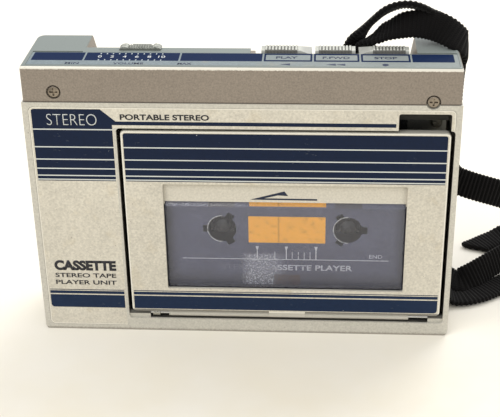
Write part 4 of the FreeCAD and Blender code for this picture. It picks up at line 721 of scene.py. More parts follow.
def webbing_finish(colours, pitch):
    """Black woven nylon: threads run along the ribs, read from the strap's own UV map in mm."""
    shader = Shader("ribbed webbing", sheen_weight=0.08, sheen_roughness=0.5, specular_ior_level=0.12)
    source = shader.node("ShaderNodeUVMap", {"uv_map": "weave"}).outputs[0]
    parts = shader.node("ShaderNodeSeparateXYZ", {}, {0: source})
    along = shader.value(parts, 0)
    across = shader.value(parts, 1)
    rib = shader.math("SINE", along * (2 * math.pi / (pitch / MM)))
    thread = shader.math("SINE", (across * 9.0 + rib * 1.4) + shader.noise(source, 0.6, 2.0) * 4.0)
    fluff = shader.noise(source, 3.0, 3.0)
    shade = 0.75 + (rib + 1.0) * 0.35 + fluff * 0.9 + thread * 0.2
    colour = shader.tint(tuple(colours.webbing), shade)
    dusty = shader.smooth(fluff, 0.62, 0.8) * 0.22
    colour = shader.mix(dusty, colour, display(74, 62, 50))
    shader.set(base_color=colour, roughness=0.78 + fluff * 0.15)
    return shader.bump(thread * 0.5 + fluff * 0.8, 0.0001, 0.7).material


def floor_finish(colours):
    """Pale ground with a faint mottle, creamier towards the front."""
    shader = Shader("pale ground", roughness=0.85, specular_ior_level=0.15)
    vector, x, y, z = shader.place()
    mottle = shader.noise(vector, 0.012, 4.0)
    near = shader.smooth(y, 60.0, -160.0)
    colour = shader.tint(tuple(colours.floor), 0.97 + mottle * 0.06)
    cream = near * shader.smooth(mottle, 0.35, 0.7) * 0.8
    colour = shader.mix(cream, colour, display(228, 218, 190))
    return shader.set(base_color=colour).material


def coat(material, *nodes):
    """Put one material on frame parts."""
    for node in nodes:
        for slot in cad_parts[node].material_slots:
            slot.material = material


# ---------------------------------------------------------------- modelling helpers
def deselect():
    """Leave nothing selected."""
    bpy.ops.object.select_all(action="DESELECT")


def pick(piece):
    """Select one piece alone and make it active."""
    deselect()
    piece.select_set(True)
    bpy.context.view_layer.objects.active = piece


def keep_transform(piece):
    """Move a piece's place, turn and scale into its mesh."""
    pick(piece)
    bpy.ops.object.transform_apply(location=True, rotation=True, scale=True)
    return piece


def join(pieces, name):
    """Join pieces into one, under a name."""
    deselect()
    for piece in pieces:
        piece.select_set(True)
    bpy.context.view_layer.objects.active = pieces[0]
    if len(pieces) > 1:
        bpy.ops.object.join()
    joined = bpy.context.view_layer.objects.active
    joined.name = name
    return joined


def dress(piece, body, material, smooth=None):
    """Give a finished piece its material, its shading and the body that it rides on."""
    piece.data.materials.clear()
    piece.data.materials.append(material)
    if smooth is not None:
        pick(piece)
        bpy.ops.object.shade_smooth_by_angle(angle=math.radians(smooth))
    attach(piece, body)
    return piece


def block(x0, x1, y0, y1, z0, z1):
    """Box between two corners given in millimetres."""
    deselect()
    middle = Vector((x0 + x1, y0 + y1, z0 + z1)) * (MM / 2)
    bpy.ops.mesh.primitive_cube_add(size=1.0, location=middle)
    piece = bpy.context.object
    piece.scale = Vector((x1 - x0, y1 - y0, z1 - z0)) * MM
    return keep_transform(piece)


def apply_modifier(piece, kind, **settings):
    """Add a modifier with these settings and apply it."""
    bpy.context.view_layer.objects.active = piece
    modifier = piece.modifiers.new(kind.title(), kind)
    for key, value in settings.items():
        setattr(modifier, key, value)
    bpy.ops.object.modifier_apply(modifier=modifier.name)
    return piece


def cut_away(piece, tool):
    """Take a tool's shape out of a piece and remove the tool."""
    deselect()
    piece.select_set(True)
    apply_modifier(piece, "BOOLEAN", object=tool, operation="DIFFERENCE", solver="EXACT")
    bpy.data.objects.remove(tool)
    return piece


def lay(piece, x, z, top, depth):
    """Turn a flat shape so that it lies on the label (top=True) or on a face at this depth."""
    if top:
        piece.location = Vector((x, z, LABEL_TOP)) * MM
    else:
        piece.rotation_euler.x = math.pi / 2
        piece.location = Vector((x, depth, z)) * MM
    return keep_transform(piece)


def letters(words, x0, x1, z0, z1, proud, weight=0.0, top=False, depth=FRONT_Y):
    """Raised lettering that fills a box of the front or of the label, in millimetres."""
    deselect()
    bpy.ops.object.text_add()
    piece = bpy.context.object
    piece.data.body = words
    piece.data.offset = weight
    piece.data.resolution_u = 5
    bpy.context.view_layer.update()
    bpy.ops.object.convert(target="MESH")
    piece = bpy.context.object
    low, high = (Vector(piece.bound_box[corner]) for corner in (0, 6))
    piece.scale = ((x1 - x0) / (high.x - low.x) * MM, (z1 - z0) / (high.y - low.y) * MM, 1.0)
    piece.location = (-low.x * piece.scale.x, -low.y * piece.scale.y, 0.0)
    keep_transform(piece)
    apply_modifier(piece, "SOLIDIFY", thickness=2 * proud, offset=0.0)
    return lay(piece, x0, z0, top, depth)


def flat_shape(points, proud, top=False, depth=FRONT_Y):
    """Thin raised shape with this outline, in millimetres, on the front or on the label."""
    curve = bpy.data.curves.new("outline", "CURVE")
    curve.dimensions = "2D"
    curve.fill_mode = "BOTH"
    curve.extrude = proud
    spline = curve.splines.new("POLY")
    spline.points.add(len(points) - 1)
    for point, (x, z) in zip(spline.points, points):
        point.co = (x * MM, z * MM, 0.0, 1.0)
    spline.use_cyclic_u = True
    piece = bpy.data.objects.new("outline", curve)
    bpy.context.scene.collection.objects.link(piece)
    pick(piece)
    bpy.ops.object.convert(target="MESH")
    piece = bpy.context.object
    return lay(piece, 0.0, 0.0, top, depth)


def circle_points(x, z, radius, count=28):
    """Outline of a round dot."""
    turns = [2 * math.pi * step / count for step in range(count)]
    return [(x + radius * math.cos(turn), z + radius * math.sin(turn)) for turn in turns]


def bar_points(x0, x1, z0, z1):
    """Outline of a straight bar."""
    return [(x0, z0), (x1, z0), (x1, z1), (x0, z1)]


# ---------------------------------------------------------------- strap
# control points of the two strap runs in millimetres, each with the direction of its flat width
FRONT_RUN = (
    ((38.5, 13.2, 78.2), (1, 0, 0)), ((38.5, 11.6, 81.4), (1, 0, 0)), ((38.6, 15.0, 86.0), (1, 0, 0)),
    ((39.2, 17.0, 91.0), (1, 0.3, 0)), ((39.8, 15.2, 96.4), (0.7, 0.7, 0)),
    ((46.0, 11.6, 101.4), (0.1, 0.95, 0.3)), ((53.5, 8.8, 105.4), (0, 0.75, 0.65)),
    ((62.6, 6.6, 105.6), (0.1, 0.45, 0.9)), ((70.8, 4.4, 101.2), (0.25, 0.7, 0.68)),
    ((72.7, 6.8, 97.0), (0.1, 1, 0.1)), ((71.65, 10.6, 91.0), (0, 1, 0)),
    ((71.65, 10.6, 68.0), (0, 1, 0)), ((71.65, 10.6, 49.0), (0, 1, 0)), ((71.65, 10.4, 28.0), (0, 1, 0)),
    ((71.65, 9.0, 12.0), (0, 1, 0)), ((72.0, 7.2, 1.3), (0, 1, 0)), ((81.0, 8.4, 1.3), (-0.25, 0.95, 0)),
    ((92.6, 16.8, 1.3), (-0.6, 0.8, 0)), ((103.0, 26.0, 1.6), (-0.6, 0.8, 0.1)),
    ((110.6, 37.4, 3.4), (-0.7, 0.3, 0.7)), ((111.2, 49.0, 4.6), (-0.6, 0, 0.9)),
    ((103.8, 54.6, 3.4), (0.2, 0.7, 0.7)), ((93.6, 50.6, 1.6), (-0.5, 0.85, 0.1)),
    ((84.4, 43.6, 1.3), (-0.6, 0.8, 0)))
REAR_RUN = (
    ((38.5, 13.2, 78.2), (1, 0, 0)), ((38.5, 16.6, 80.0), (1, 0, 0)), ((38.4, 17.6, 84.4), (1, 0, 0)),
    ((36.6, 18.8, 91.0), (1, 0.2, 0)), ((36.4, 17.0, 97.0), (0.7, 0.8, 0)),
    ((41.2, 13.8, 103.4), (0.2, 0.9, -0.2)), ((47.0, 12.0, 109.4), (0, 0.9, -0.45)),
    ((53.6, 11.4, 111.2), (0, 0.9, -0.4)), ((60.6, 12.0, 108.8), (0, 0.9, -0.3)),
    ((67.4, 14.2, 102.8), (0.2, 0.95, 0)), ((73.8, 16.4, 97.6), (0.1, 1, 0)),
    ((72.6, 21.4, 86.0), (0.1, 1, 0)), ((71.2, 21.6, 70.0), (0.5, 0.85, 0)),
    ((69.8, 18.8, 53.5), (0.85, 0.4, 0.3)), ((70.6, 18.2, 45.2), (0.6, 0.4, 0.7)),
    ((78.5, 18.0, 42.0), (0.3, 0.45, 0.85)), ((90.0, 19.0, 38.2), (0.25, 0.3, 0.9)),
    ((98.6, 23.0, 33.6), (0.2, 0.1, 1)), ((105.5, 29.6, 24.6), (0.2, 0, 1)),
    ((108.4, 37.0, 13.6), (0, 0, 1)), ((104.4, 36.4, 7.4), (0, 0.2, 1)),
    ((96.6, 28.8, 7.6), (0, 0.47, 0.88)), ((88.0, 21.6, 6.6), (0, 0.47, 0.88)),
    ((81.0, 15.8, 5.0), (0, 0.6, 0.78)), ((75.4, 14.4, 3.4), (0.2, 0.85, 0.4)),
    ((67.0, 20.6, 5.4), (0, 0, 1)), ((53.0, 23.0, 5.4), (0, 0, 1)), ((41.0, 23.8, 5.4), (0, 0, 1)))
SPLINE_STEPS = 24
SECTION_POINTS = 24
RINGS_PER_RIB = 6
# skewed tip of the webbing, as shares of its width: length, sideways shift, width left at the end
TIP_LENGTH = 0.45
TIP_SKEW = 0.36
TIP_WIDTH = 0.28
RIB_SWELL = (0.03, 0.16)
SECTION_ROUND = (0.45, 0.7)


def route_line(route):
    """Points along the smooth line that the control points steer."""
    curve = bpy.data.curves.new("route", "CURVE")
    curve.dimensions = "3D"
    curve.resolution_u = SPLINE_STEPS
    spline = curve.splines.new("NURBS")
    spline.points.add(len(route) - 1)
    for point, (place, _) in zip(spline.points, route):
        point.co = (*(Vector(place) * MM), 1.0)
    spline.order_u = 3
    spline.use_endpoint_u = True
    carrier = bpy.data.objects.new("route", curve)
    bpy.context.scene.collection.objects.link(carrier)
    bpy.context.view_layer.update()
    mesh = bpy.data.meshes.new_from_object(carrier)
    line = [vertex.co.copy() for vertex in mesh.vertices]
    bpy.data.objects.remove(carrier)
    return line


def even_rings(line, step):
    """Points spaced evenly along a line, and the line's length."""
    rings = [line[0]]
    total = 0.0
    due = step
    for start, end in zip(line, line[1:]):
        span = (end - start).length
        while total + span >= due:
            rings.append(start.lerp(end, (due - total) / span))
            due += step
        total += span
    return rings, total


def ring_widths(rings, route):
    """Direction of the flat width at each ring, turned smoothly between the control points."""
    marks = []
    reached = 0
    for place, width in route:
        target = Vector(place) * MM
        window = range(reached, min(len(rings), reached + 200))
        reached = min(window, key=lambda index: (rings[index] - target).length)
        marks.append((reached, Vector(width).normalized()))
    marks[0] = (0, marks[0][1])
    marks[-1] = (len(rings), marks[-1][1])
    widths = []
    for (start, first), (end, second) in zip(marks, marks[1:]):
        for index in range(start, end):
            share = (index - start) / (end - start)
            widths.append(first.lerp(second, share * share * (3 - 2 * share)))
    return widths


def ribbon(name, route, sizes, tip=False):
    """Flat ribbed webbing swept along a route; returns the piece, its line and its length."""
    step = sizes.rib_pitch / RINGS_PER_RIB
    rings, length = even_rings(route_line(route), step)
    widths = ring_widths(rings, route)
    vertices = []
    weave = []
    for index, (centre, width) in enumerate(zip(rings, widths)):
        along = (rings[min(index + 1, len(rings) - 1)] - rings[max(index - 1, 0)]).normalized()
        side = (width - along * width.dot(along)).normalized()
        face = along.cross(side)
        wave = math.cos(2 * math.pi * index / RINGS_PER_RIB)
        half_width = sizes.strap_width / 2 * (1 - RIB_SWELL[0] + RIB_SWELL[0] * wave)
        half_depth = sizes.strap_thickness / 2 * (1 - RIB_SWELL[1] + RIB_SWELL[1] * wave)
        share = (len(rings) - 1 - index) * step / (sizes.strap_width * TIP_LENGTH)
        skew = 0.0
        if tip and share < 1:
            skew = (1 - share) * sizes.strap_width * TIP_SKEW
            half_width *= TIP_WIDTH + (1 - TIP_WIDTH) * share
        for corner in range(SECTION_POINTS):
            angle = 2 * math.pi * corner / SECTION_POINTS
            c, s = math.cos(angle), math.sin(angle)
            out = math.copysign(abs(c) ** SECTION_ROUND[0], c) * half_width + skew
            up = math.copysign(abs(s) ** SECTION_ROUND[1], s) * half_depth
            vertices.append(centre + side * out + face * up)
            weave.append((index * step / MM, out / MM))
    faces = []
    for index in range(len(rings) - 1):
        first = index * SECTION_POINTS
        for corner in range(SECTION_POINTS):
            after = (corner + 1) % SECTION_POINTS
            faces.append((first + corner, first + after, first + SECTION_POINTS + after,
                          first + SECTION_POINTS + corner))
    faces.append(tuple(reversed(range(SECTION_POINTS))))
    last = (len(rings) - 1) * SECTION_POINTS
    faces.append(tuple(range(last, last + SECTION_POINTS)))
    mesh = bpy.data.meshes.new(name)
    mesh.from_pydata(vertices, [], faces)
    layer = mesh.uv_layers.new(name="weave")
    for loop in mesh.loops:
        layer.data[loop.index].uv = weave[loop.vertex_index]
    piece = bpy.data.objects.new(name, mesh)
    bpy.context.scene.collection.objects.link(piece)
    pick(piece)
    bpy.ops.object.mode_set(mode="EDIT")
    bpy.ops.mesh.select_all(action="SELECT")
    bpy.ops.mesh.normals_make_consistent(inside=False)
    bpy.ops.object.mode_set(mode="OBJECT")
    return piece, rings, length


# ---------------------------------------------------------------- operators
class PLAYER_OT_case(bpy.types.Operator):
    """Lacquer the case, the cap, the door's moulding and the battery cover"""
    bl_idname = "player.case"
    bl_label = "Case finishes"

    def execute(self, context):
        colours = context.scene.player_colours
        coat(case_finish(colours), "front_case")
        coat(lacquer("rear lacquer", colours.silver), "back_case", "battery_cover", "door_shell")
        coat(cap_finish(colours), "top_cap")
        coat(sill_finish(colours), "window_bezel")
        nickel = metal("nickel screws", display(150, 140, 128), 0.3, (1.0, 1.0, 1.0), 0.6)
        coat(nickel, "case_screws", "strap_bar")
        return {"FINISHED"}


# words of the front: text, left and right from the sheet's corner, foot and head in Z, stroke weight
TAB_WORDS = (("STEREO", 5.7, 22.0, TRIM_HIGH.z - 6.2, TRIM_HIGH.z - 2.3, -0.02),)
COLUMN_WORDS = (
    ("PORTABLE STEREO", 29.6, 58.4, TRIM_HIGH.z - 4.2, TRIM_HIGH.z - 2.2, 0.03),
    ("CASSETTE", 3.2, 24.6, DOOR_LOW.z + 15.9, DOOR_LOW.z + 19.9, 0.055),
    ("STEREO TAPE", 3.2, 24.4, DOOR_LOW.z + 13.1, DOOR_LOW.z + 14.8, 0.02),
    ("PLAYER UNIT", 3.2, 24.4, DOOR_LOW.z + 10.3, DOOR_LOW.z + 12.0, 0.02))


def front_words(table, proud):
    """Raised words of the front sheet, from a table of texts and places."""
    return [letters(text, TRIM_LOW.x + x0, TRIM_LOW.x + x1, z0, z1, proud, weight)
            for text, x0, x1, z0, z1, weight in table]


class PLAYER_OT_front_print(bpy.types.Operator):
    """Print the front sheets and set the raised lettering on them"""
    bl_idname = "player.front_print"
    bl_label = "Front print"

    def execute(self, context):
        colours = context.scene.player_colours
        proud = context.scene.player_sizes.print_height
        coat(column_print(colours), "trim_plate")
        coat(door_print(colours), "door_trim")
        tab = front_words(TAB_WORDS, proud)
        dress(join(tab, "tab_lettering"), "case", ink("tab ink", colours.pale))
        words = front_words(COLUMN_WORDS, proud)
        dress(join(words, "front_lettering"), "case", ink("front ink", display(24, 24, 34)))
        return {"FINISHED"}


def key_middle(name):
    """Middle of a key along X."""
    low, high = KEYS[name]
    return (low.x + high.x) / 2


# words of the label: key or text, middle along X, half width
KEY_WORDS = (("play", "PLAY", 3.4), ("ffwd", "F.FWD", 4.3), ("stop", "STOP", 3.6))
TICK_END = TICK_START + (TICKS - 1) * TICK_PITCH
VOLUME_WORDS = (("MIN", TICK_START - 8.0, 2.2), ("VOLUME", (TICK_START + TICK_END) / 2, 4.8),
                ("MAX", TICK_END + 7.9, 2.2))
ARROWS = (("play", 0.0), ("ffwd", -1.4), ("ffwd", 1.6))


class PLAYER_OT_label_print(bpy.types.Operator):
    """Print the label on the cap and set its words, numbers and symbols"""
    bl_idname = "player.label_print"
    bl_label = "Label print"

    def word(self, text, x, half, y, half_height, proud, weight):
        """Raised word about a middle on the label."""
        return letters(text, x - half, x + half, y - half_height, y + half_height, proud, weight, True)

    def execute(self, context):
        colours = context.scene.player_colours
        proud = context.scene.player_sizes.print_height
        coat(label_print(colours), "label_strip")
        front = LABEL_LOW.y
        middle = front + sum(LABEL_BAND) / 2
        words = [self.word(text, key_middle(name) + 0.3, half, middle, 0.95, proud, 0.02)
                 for name, text, half in KEY_WORDS]
        words += [self.word(text, x, half, front + 1.25, 0.75, proud, 0.01) for text, x, half in VOLUME_WORDS]
        for name, shift in ARROWS:
            x = key_middle(name) + shift
            points = [(x - 1.5, front + 1.2), (x + 1.5, front + 0.4), (x + 1.5, front + 2.0)]
            words.append(flat_shape(points, proud, True))
        words.append(flat_shape(circle_points(key_middle("stop"), front + 1.2, 1.0), proud, True))
        dress(join(words, "label_lettering"), "case", ink("label ink", colours.label_blue))
        numbers = [self.word(str(2 * index), TICK_START + 2 * TICK_PITCH * index, 0.6 if index < 5 else 1.1,
                             middle, 0.9, proud, 0.0) for index in range(6)]
        dress(join(numbers, "volume_numbers"), "case", ink("number ink", colours.pale))
        return {"FINISHED"}


# hub openings of the film
FILM_BACK = LENS_HIGH.y + 0.25
HUB_RADIUS = 4.85
RIM_WIDTH = 0.24
NOTCH_REACH = 6.5
NOTCH_HALF = 1.35
# tape scale and words of the film, from its own corner: text, left, right, foot, head, stroke weight
SCALE_RISE = 9.2
SCALE_Z = FILM_Z + SCALE_RISE
SCALE_FLAGS = (29.9, 39.8, 49.9)
SCALE_TICKS = (35.9, 41.8, 43.9, 45.9, 47.9)
FILM_WORDS = (
    ("START", 7.6, 14.0, SCALE_RISE + 0.9, SCALE_RISE + 2.3, 0.01),
    ("END", 68.0, 72.4, SCALE_RISE + 0.9, SCALE_RISE + 2.3, 0.0),
    ("STEREO CASSETTE PLAYER", 17.5, 62.4, 4.9, 7.1, 0.025))
# arrow on the sill, from the film's corner and the window's head
ARROW_PLACE = (27.9, 1.0)
ARROW_POINTS = ((0, 0), (22.2, -0.1), (22.2, 0.5), (4.6, 0.55), (9.2, 1.7), (12.6, 1.5), (11.4, 3.2))


class PLAYER_OT_window(bpy.types.Operator):
    """Glaze the window, and put the printed film with its hub openings behind it"""
    bl_idname = "player.window"
    bl_label = "Window"

    def hub_opening(self, film, hub, first_turn):
        """Cut a round opening with three notches for a hub."""
        x, z = hub
        deselect()
        bpy.ops.mesh.primitive_cylinder_add(vertices=48, radius=HUB_RADIUS * MM, depth=4 * MM,
                                            location=Vector((x, FILM_BACK, z)) * MM,
                                            rotation=(math.pi / 2, 0, 0))
        cut_away(film, keep_transform(bpy.context.object))
        for index in range(3):
            tool = block(0.0, NOTCH_REACH, -2.0, 2.0, -NOTCH_HALF, NOTCH_HALF)
            tool.rotation_euler.y = -math.radians(first_turn + 120 * index)
            tool.location = Vector((x, FILM_BACK, z)) * MM
            cut_away(film, keep_transform(tool))

    def scale_marks(self, proud, face):
        """Long line, marker flags and short ticks of the tape scale."""
        shapes = [bar_points(FILM_X + 4.2, FILM_X + 74.6, SCALE_Z - 0.12, SCALE_Z + 0.12)]
        for x in (FILM_X + flag for flag in SCALE_FLAGS):
            shapes.append(bar_points(x - 0.17, x + 0.17, SCALE_Z, SCALE_Z + 3.4))
            shapes.append([(x - 0.55, SCALE_Z + 5.1), (x + 0.55, SCALE_Z + 5.1), (x, SCALE_Z + 3.0)])
        for x in (FILM_X + tick for tick in SCALE_TICKS):
            shapes.append(bar_points(x - 0.11, x + 0.11, SCALE_Z, SCALE_Z + 3.0))
        return [flat_shape(points, proud, False, face) for points in shapes]

    def hub_rim_highlight(self, hub, proud, face):
        """Painted highlight: a thin bright rim on the left half of a hub opening."""
        arc = [math.radians(90 + 9 * step) for step in range(21)]
        points = [(hub[0] + radius * math.cos(turn), hub[1] + radius * math.sin(turn))
                  for radius, turns in ((HUB_RADIUS + RIM_WIDTH, arc), (HUB_RADIUS, reversed(arc)))
                  for turn in turns]
        return flat_shape(points, proud, False, face)

    def print_film(self, colours, face, proud):
        """Scale and words on the film's face, and a painted highlight round the left of each hub opening."""
        pale = ink("scale ink", display(214, 216, 222), 0.40)
        dress(join(self.scale_marks(proud, face), "window_scale"), "door", pale)
        words = [letters(text, FILM_X + x0, FILM_X + x1, FILM_Z + z0, FILM_Z + z1, proud, weight, False, face)
                 for text, x0, x1, z0, z1, weight in FILM_WORDS]
        faded = ink("faded ink", display(200, 202, 212), 0.42, 0.45, RUB_FADE)
        dress(join(words, "window_lettering"), "door", faded)
        rim_highlights = [self.hub_rim_highlight(hub, proud, face) for hub in (HUB_LEFT, HUB_RIGHT)]
        dress(join(rim_highlights, "hub_rim_highlights"), "door", ink("rim highlight", display(226, 226, 226), 0.46))

    def execute(self, context):
        colours = context.scene.player_colours
        sizes = context.scene.player_sizes
        coat(window_glass(), "window_lens")
        back = FILM_BACK
        film = block(BEZEL_LOW.x + 0.2, BEZEL_HIGH.x - 0.2, back - sizes.film_thickness / MM, back,
                     BEZEL_LOW.z + 0.1, LENS_HIGH.z + 0.6)
        self.hub_opening(film, HUB_LEFT, 180)
        self.hub_opening(film, HUB_RIGHT, 0)
        film.name = "window_film"
        dress(film, "door", film_print(colours))
        self.print_film(colours, back - sizes.film_thickness / MM, sizes.print_height / 2)
        points = [(FILM_X + ARROW_PLACE[0] + x, LENS_HIGH.z + ARROW_PLACE[1] + z) for x, z in ARROW_POINTS]
        arrow = flat_shape(points, sizes.print_height, False, BEZEL_LOW.y)
        arrow.name = "sill_arrow"
        dress(arrow, "door", ink("arrow ink", colours.navy))
        return {"FINISHED"}


class PLAYER_OT_controls(bpy.types.Operator):
    """Lacquer the keys and the volume knob"""
    bl_idname = "player.controls"
    bl_label = "Key finishes"

    def execute(self, context):
        colours = context.scene.player_colours
        crest = KEYS["play"][1].z
        play, ffwd, stop = (KEYS[name] for name in ("play", "ffwd", "stop"))
        middle = key_middle("ffwd")
        ribs = ((play[0].x + 1.2, play[0].x + 11.6), (middle - 5.3, middle + 5.3),
                (stop[1].x - 11.6, stop[1].x - 1.2))
        coat(worn_crest("key lacquer", colours.key, crest, 0.42, ribs), "play_key", "ffwd_key", "stop_key")
        coat(worn_crest("knob lacquer", colours.knob, KNOB_HIGH.z, 0.42), "volume_knob")
        return {"FINISHED"}


# finishes of the tape deck, the battery bay and the board: function, its settings, the frame parts
DECK_FINISHES = (
    (metal, ("zinc plate", display(186, 186, 180), 0.36, (5.0, 1.0, 1.0), 0.2),
     ("chassis_plate", "flywheel_bracket", "motor_body", "motor_bracket", "head_plate", "pinch_arm",
      "deck_posts", "play_stem", "ffwd_stem", "stop_stem", "volume_arm")),
    (metal, ("bright steel", display(206, 206, 204), 0.16, (1.0, 9.0, 1.0), 0.1),
     ("hinge_pin", "capstan_shaft", "tape_head")),
    (metal, ("inner screws", display(170, 166, 156), 0.3, (1.0, 1.0, 1.0), 0.4), ("inner_screws",)),
    (metal, ("spring leaf", display(196, 192, 180), 0.24, (9.0, 1.0, 1.0), 0.15),
     ("holder_spring", "door_catch", "battery_contacts")),
    (metal, ("turned brass", display(206, 164, 84), 0.22, (1.0, 9.0, 1.0), 0.3),
     ("deck_bushes", "flywheel", "motor_pulley")),
    (moulded, ("white acetal", display(226, 222, 208), 0.38, 0.04),
     ("takeup_gear", "supply_washer", "idler_gear", "capstan_pinion")),
    (moulded, ("black acetal", display(28, 27, 27), 0.36), ("takeup_reel", "supply_reel")),
    (moulded, ("black moulding", display(24, 24, 26), 0.5),
     ("cassette_holder", "leaf_switch", "slide_resistor", "headphone_jack", "power_jack")),
    (moulded, ("belt rubber", display(20, 19, 18), 0.7), ("drive_belt",)),
    (moulded, ("roller rubber", display(38, 34, 31), 0.75), ("pinch_roller",)),
    (board_finish, (), ("circuit_board",)),
    (component_finish, (), ("board_parts",)),
    (cell_finish, (), ("battery_cells",)))


class PLAYER_OT_deck(bpy.types.Operator):
    """Finish the tape deck, the battery bay, the sockets and the circuit board"""
    bl_idname = "player.deck"
    bl_label = "Deck finishes"

    def execute(self, context):
        for finish, settings, nodes in DECK_FINISHES:
            coat(finish(*settings), *nodes)
        return {"FINISHED"}


SPRING_TURNS = 6
COIL_STEPS = 28


class PLAYER_OT_springs(bpy.types.Operator):
    """Wind the three key springs and the door's torsion spring"""
    bl_idname = "player.springs"
    bl_label = "Springs"

    def wind(self, name, radius, wire, length, turns):
        """Closed helix round the origin, along +Z from zero."""
        deselect()
        bpy.ops.mesh.primitive_circle_add(vertices=10, radius=wire, rotation=(math.pi / 2, 0, 0))
        piece = keep_transform(bpy.context.object)
        bpy.ops.object.mode_set(mode="EDIT")
        bpy.ops.mesh.select_all(action="SELECT")
        bpy.ops.transform.translate(value=(radius, 0, 0))
        bpy.ops.object.mode_set(mode="OBJECT")
        apply_modifier(piece, "SCREW", axis="Z", angle=2 * math.pi, screw_offset=length / turns,
                       iterations=turns, steps=COIL_STEPS, render_steps=COIL_STEPS, use_normal_calculate=True)
        bpy.ops.object.mode_set(mode="EDIT")
        bpy.ops.mesh.select_all(action="SELECT")
        bpy.ops.mesh.remove_doubles(threshold=1e-7)
        bpy.ops.mesh.fill_holes(sides=0)
        bpy.ops.mesh.normals_make_consistent(inside=False)
        bpy.ops.object.mode_set(mode="OBJECT")
        piece.name = name
        return piece

    def execute(self, context):
        wire = context.scene.player_sizes.spring_wire
        steel = metal("spring wire", display(200, 198, 190), 0.2, (1.0, 1.0, 9.0), 0.1)
        for key in ("play", "ffwd", "stop"):
            low, high = corners(key + "_spring")
            radius = (high.x - low.x) / 2 * MM - wire
            height = (high.z - low.z) * MM - 2 * wire
            piece = self.wind(key + "_coil", radius, wire, height, SPRING_TURNS)
            foot = Vector(((low.x + high.x) / 2, (low.y + high.y) / 2, low.z)) * MM
            piece.location = foot + Vector((0, 0, wire))
            keep_transform(piece)
            dress(piece, "case", steel, 60)
            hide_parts(key + "_spring")
            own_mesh(piece)
        low, high = corners("door_spring")
        radius = (high.z - low.z) / 2 * MM - wire
        piece = self.wind("hinge_coil", radius, wire, (high.x - low.x) * MM - 2 * wire, SPRING_TURNS)
        piece.rotation_euler.y = math.pi / 2
        end = Vector((low.x, (low.y + high.y) / 2, (low.z + high.z) / 2)) * MM
        piece.location = end + Vector((wire, 0, 0))
        keep_transform(piece)
        dress(piece, "case", steel, 60)
        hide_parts("door_spring")
        return {"FINISHED"}


class PLAYER_OT_strap(bpy.types.Operator):
    """Weave the two runs of the carrying strap from its bar"""
    bl_idname = "player.strap"
    bl_label = "Strap"

    def execute(self, context):
        sizes = context.scene.player_sizes
        cloth = webbing_finish(context.scene.player_colours, sizes.rib_pitch)
        for name, route, tip in (("strap_front", FRONT_RUN, True), ("strap_rear", REAR_RUN, False)):
            piece, line, length = ribbon(name, route, sizes, tip)
            dress(piece, "case", cloth, 50)
            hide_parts(name + "_run")
            [tuple(point) for point in line]
        return {"FINISHED"}


# stage, in metres: name, place, size, power and colour of each lamp, all aimed at one point
FLOOR_SIZE = 8.0
WORLD_PAINT = (1.0, 0.99, 0.975, 1.0)
WORLD_STRENGTH = 0.85
LAMP_AIM = Vector((0, 0, 0.04))
LAMPS = (
    ("key light", (-0.5, -0.55, 1.1), 0.9, 6.0, (1.0, 0.99, 0.97)),
    ("back light", (0.35, 0.7, 0.9), 0.8, 7.0, (1.0, 1.0, 1.0)))
CAMERA_PLACE = (0.02609, -0.36605, 0.23578)
CAMERA_PITCH = math.radians(27.965)
CAMERA_YAW = math.radians(-3.823)
CAMERA_ROLL = math.radians(-1.022)
LENS = 86.4


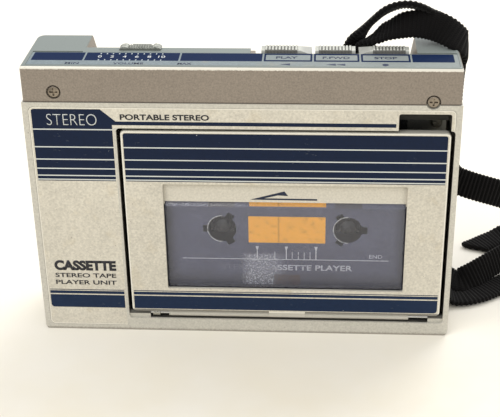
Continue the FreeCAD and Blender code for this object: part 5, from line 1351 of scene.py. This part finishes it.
class PLAYER_OT_stage(bpy.types.Operator):
    """Set the pale floor, the soft lights and the camera"""
    bl_idname = "player.stage"
    bl_label = "Stage"

    def lamp(self, name, place, size, power, paint):
        """Add one round soft lamp that points at the player."""
        light = bpy.data.lights.new(name, "AREA")
        light.shape = "DISK"
        light.size = size
        light.energy = power
        light.color = paint
        lamp = bpy.data.objects.new(name, light)
        lamp.location = place
        lamp.rotation_euler = (LAMP_AIM - Vector(place)).to_track_quat("-Z", "Y").to_euler()
        bpy.context.scene.collection.objects.link(lamp)

    def execute(self, context):
        scene = context.scene
        deselect()
        bpy.ops.mesh.primitive_grid_add(x_subdivisions=8, y_subdivisions=8, size=FLOOR_SIZE)
        floor = bpy.context.object
        floor.name = "floor"
        floor.data.materials.append(floor_finish(scene.player_colours))
        world = bpy.data.worlds.new("studio")
        world.use_nodes = True
        background = world.node_tree.nodes["Background"]
        background.inputs["Color"].default_value = WORLD_PAINT
        background.inputs["Strength"].default_value = WORLD_STRENGTH
        scene.world = world
        for lamp in LAMPS:
            self.lamp(*lamp)
        forward = Vector((math.sin(CAMERA_YAW) * math.cos(CAMERA_PITCH),
                          math.cos(CAMERA_YAW) * math.cos(CAMERA_PITCH), -math.sin(CAMERA_PITCH)))
        level = Vector((math.cos(CAMERA_YAW), -math.sin(CAMERA_YAW), 0))
        upward = level.cross(forward)
        right = level * math.cos(CAMERA_ROLL) + upward * math.sin(CAMERA_ROLL)
        above = upward * math.cos(CAMERA_ROLL) - level * math.sin(CAMERA_ROLL)
        camera = bpy.data.objects.new("camera", bpy.data.cameras.new("camera"))
        scene.collection.objects.link(camera)
        camera.data.lens = LENS
        camera.data.sensor_width = 36.0
        camera.data.clip_start = 0.01
        turn = camera.matrix_world.to_3x3()
        turn.col[0] = right
        turn.col[1] = above
        turn.col[2] = -forward
        camera.matrix_world = turn.to_4x4()
        camera.location = CAMERA_PLACE
        scene.camera = camera
        scene.view_settings.view_transform = "Standard"
        return {"FINISHED"}


class PLAYER_PT_panel(bpy.types.Panel):
    """Player pieces and their settings"""
    bl_label = "Cassette player"
    bl_idname = "PLAYER_PT_panel"
    bl_space_type = "VIEW_3D"
    bl_region_type = "UI"
    bl_category = "Player"

    def draw(self, context):
        layout = self.layout
        for operator in OPERATORS:
            layout.operator(operator.bl_idname)
        for group in (context.scene.player_sizes, context.scene.player_colours):
            for name in group.__annotations__:
                layout.prop(group, name)


OPERATORS = (PLAYER_OT_strap, PLAYER_OT_case, PLAYER_OT_front_print, PLAYER_OT_label_print, PLAYER_OT_window,
             PLAYER_OT_controls, PLAYER_OT_deck, PLAYER_OT_springs, PLAYER_OT_stage)
CLASSES = (PlayerColours, PlayerSizes, *OPERATORS, PLAYER_PT_panel)


def register():
    for one in CLASSES:
        bpy.utils.register_class(one)
    bpy.types.Scene.player_colours = bpy.props.PointerProperty(type=PlayerColours)
    bpy.types.Scene.player_sizes = bpy.props.PointerProperty(type=PlayerSizes)


def unregister():
    del bpy.types.Scene.player_sizes
    del bpy.types.Scene.player_colours
    for one in reversed(CLASSES):
        bpy.utils.unregister_class(one)


def main():
    """Make the player round its frame."""
    register()
    bpy.ops.player.strap()
    bpy.ops.player.case()
    bpy.ops.player.front_print()
    bpy.ops.player.label_print()
    bpy.ops.player.window()
    bpy.ops.player.controls()
    bpy.ops.player.deck()
    bpy.ops.player.springs()
    bpy.ops.player.stage()


if __name__ == "__main__":
    main()
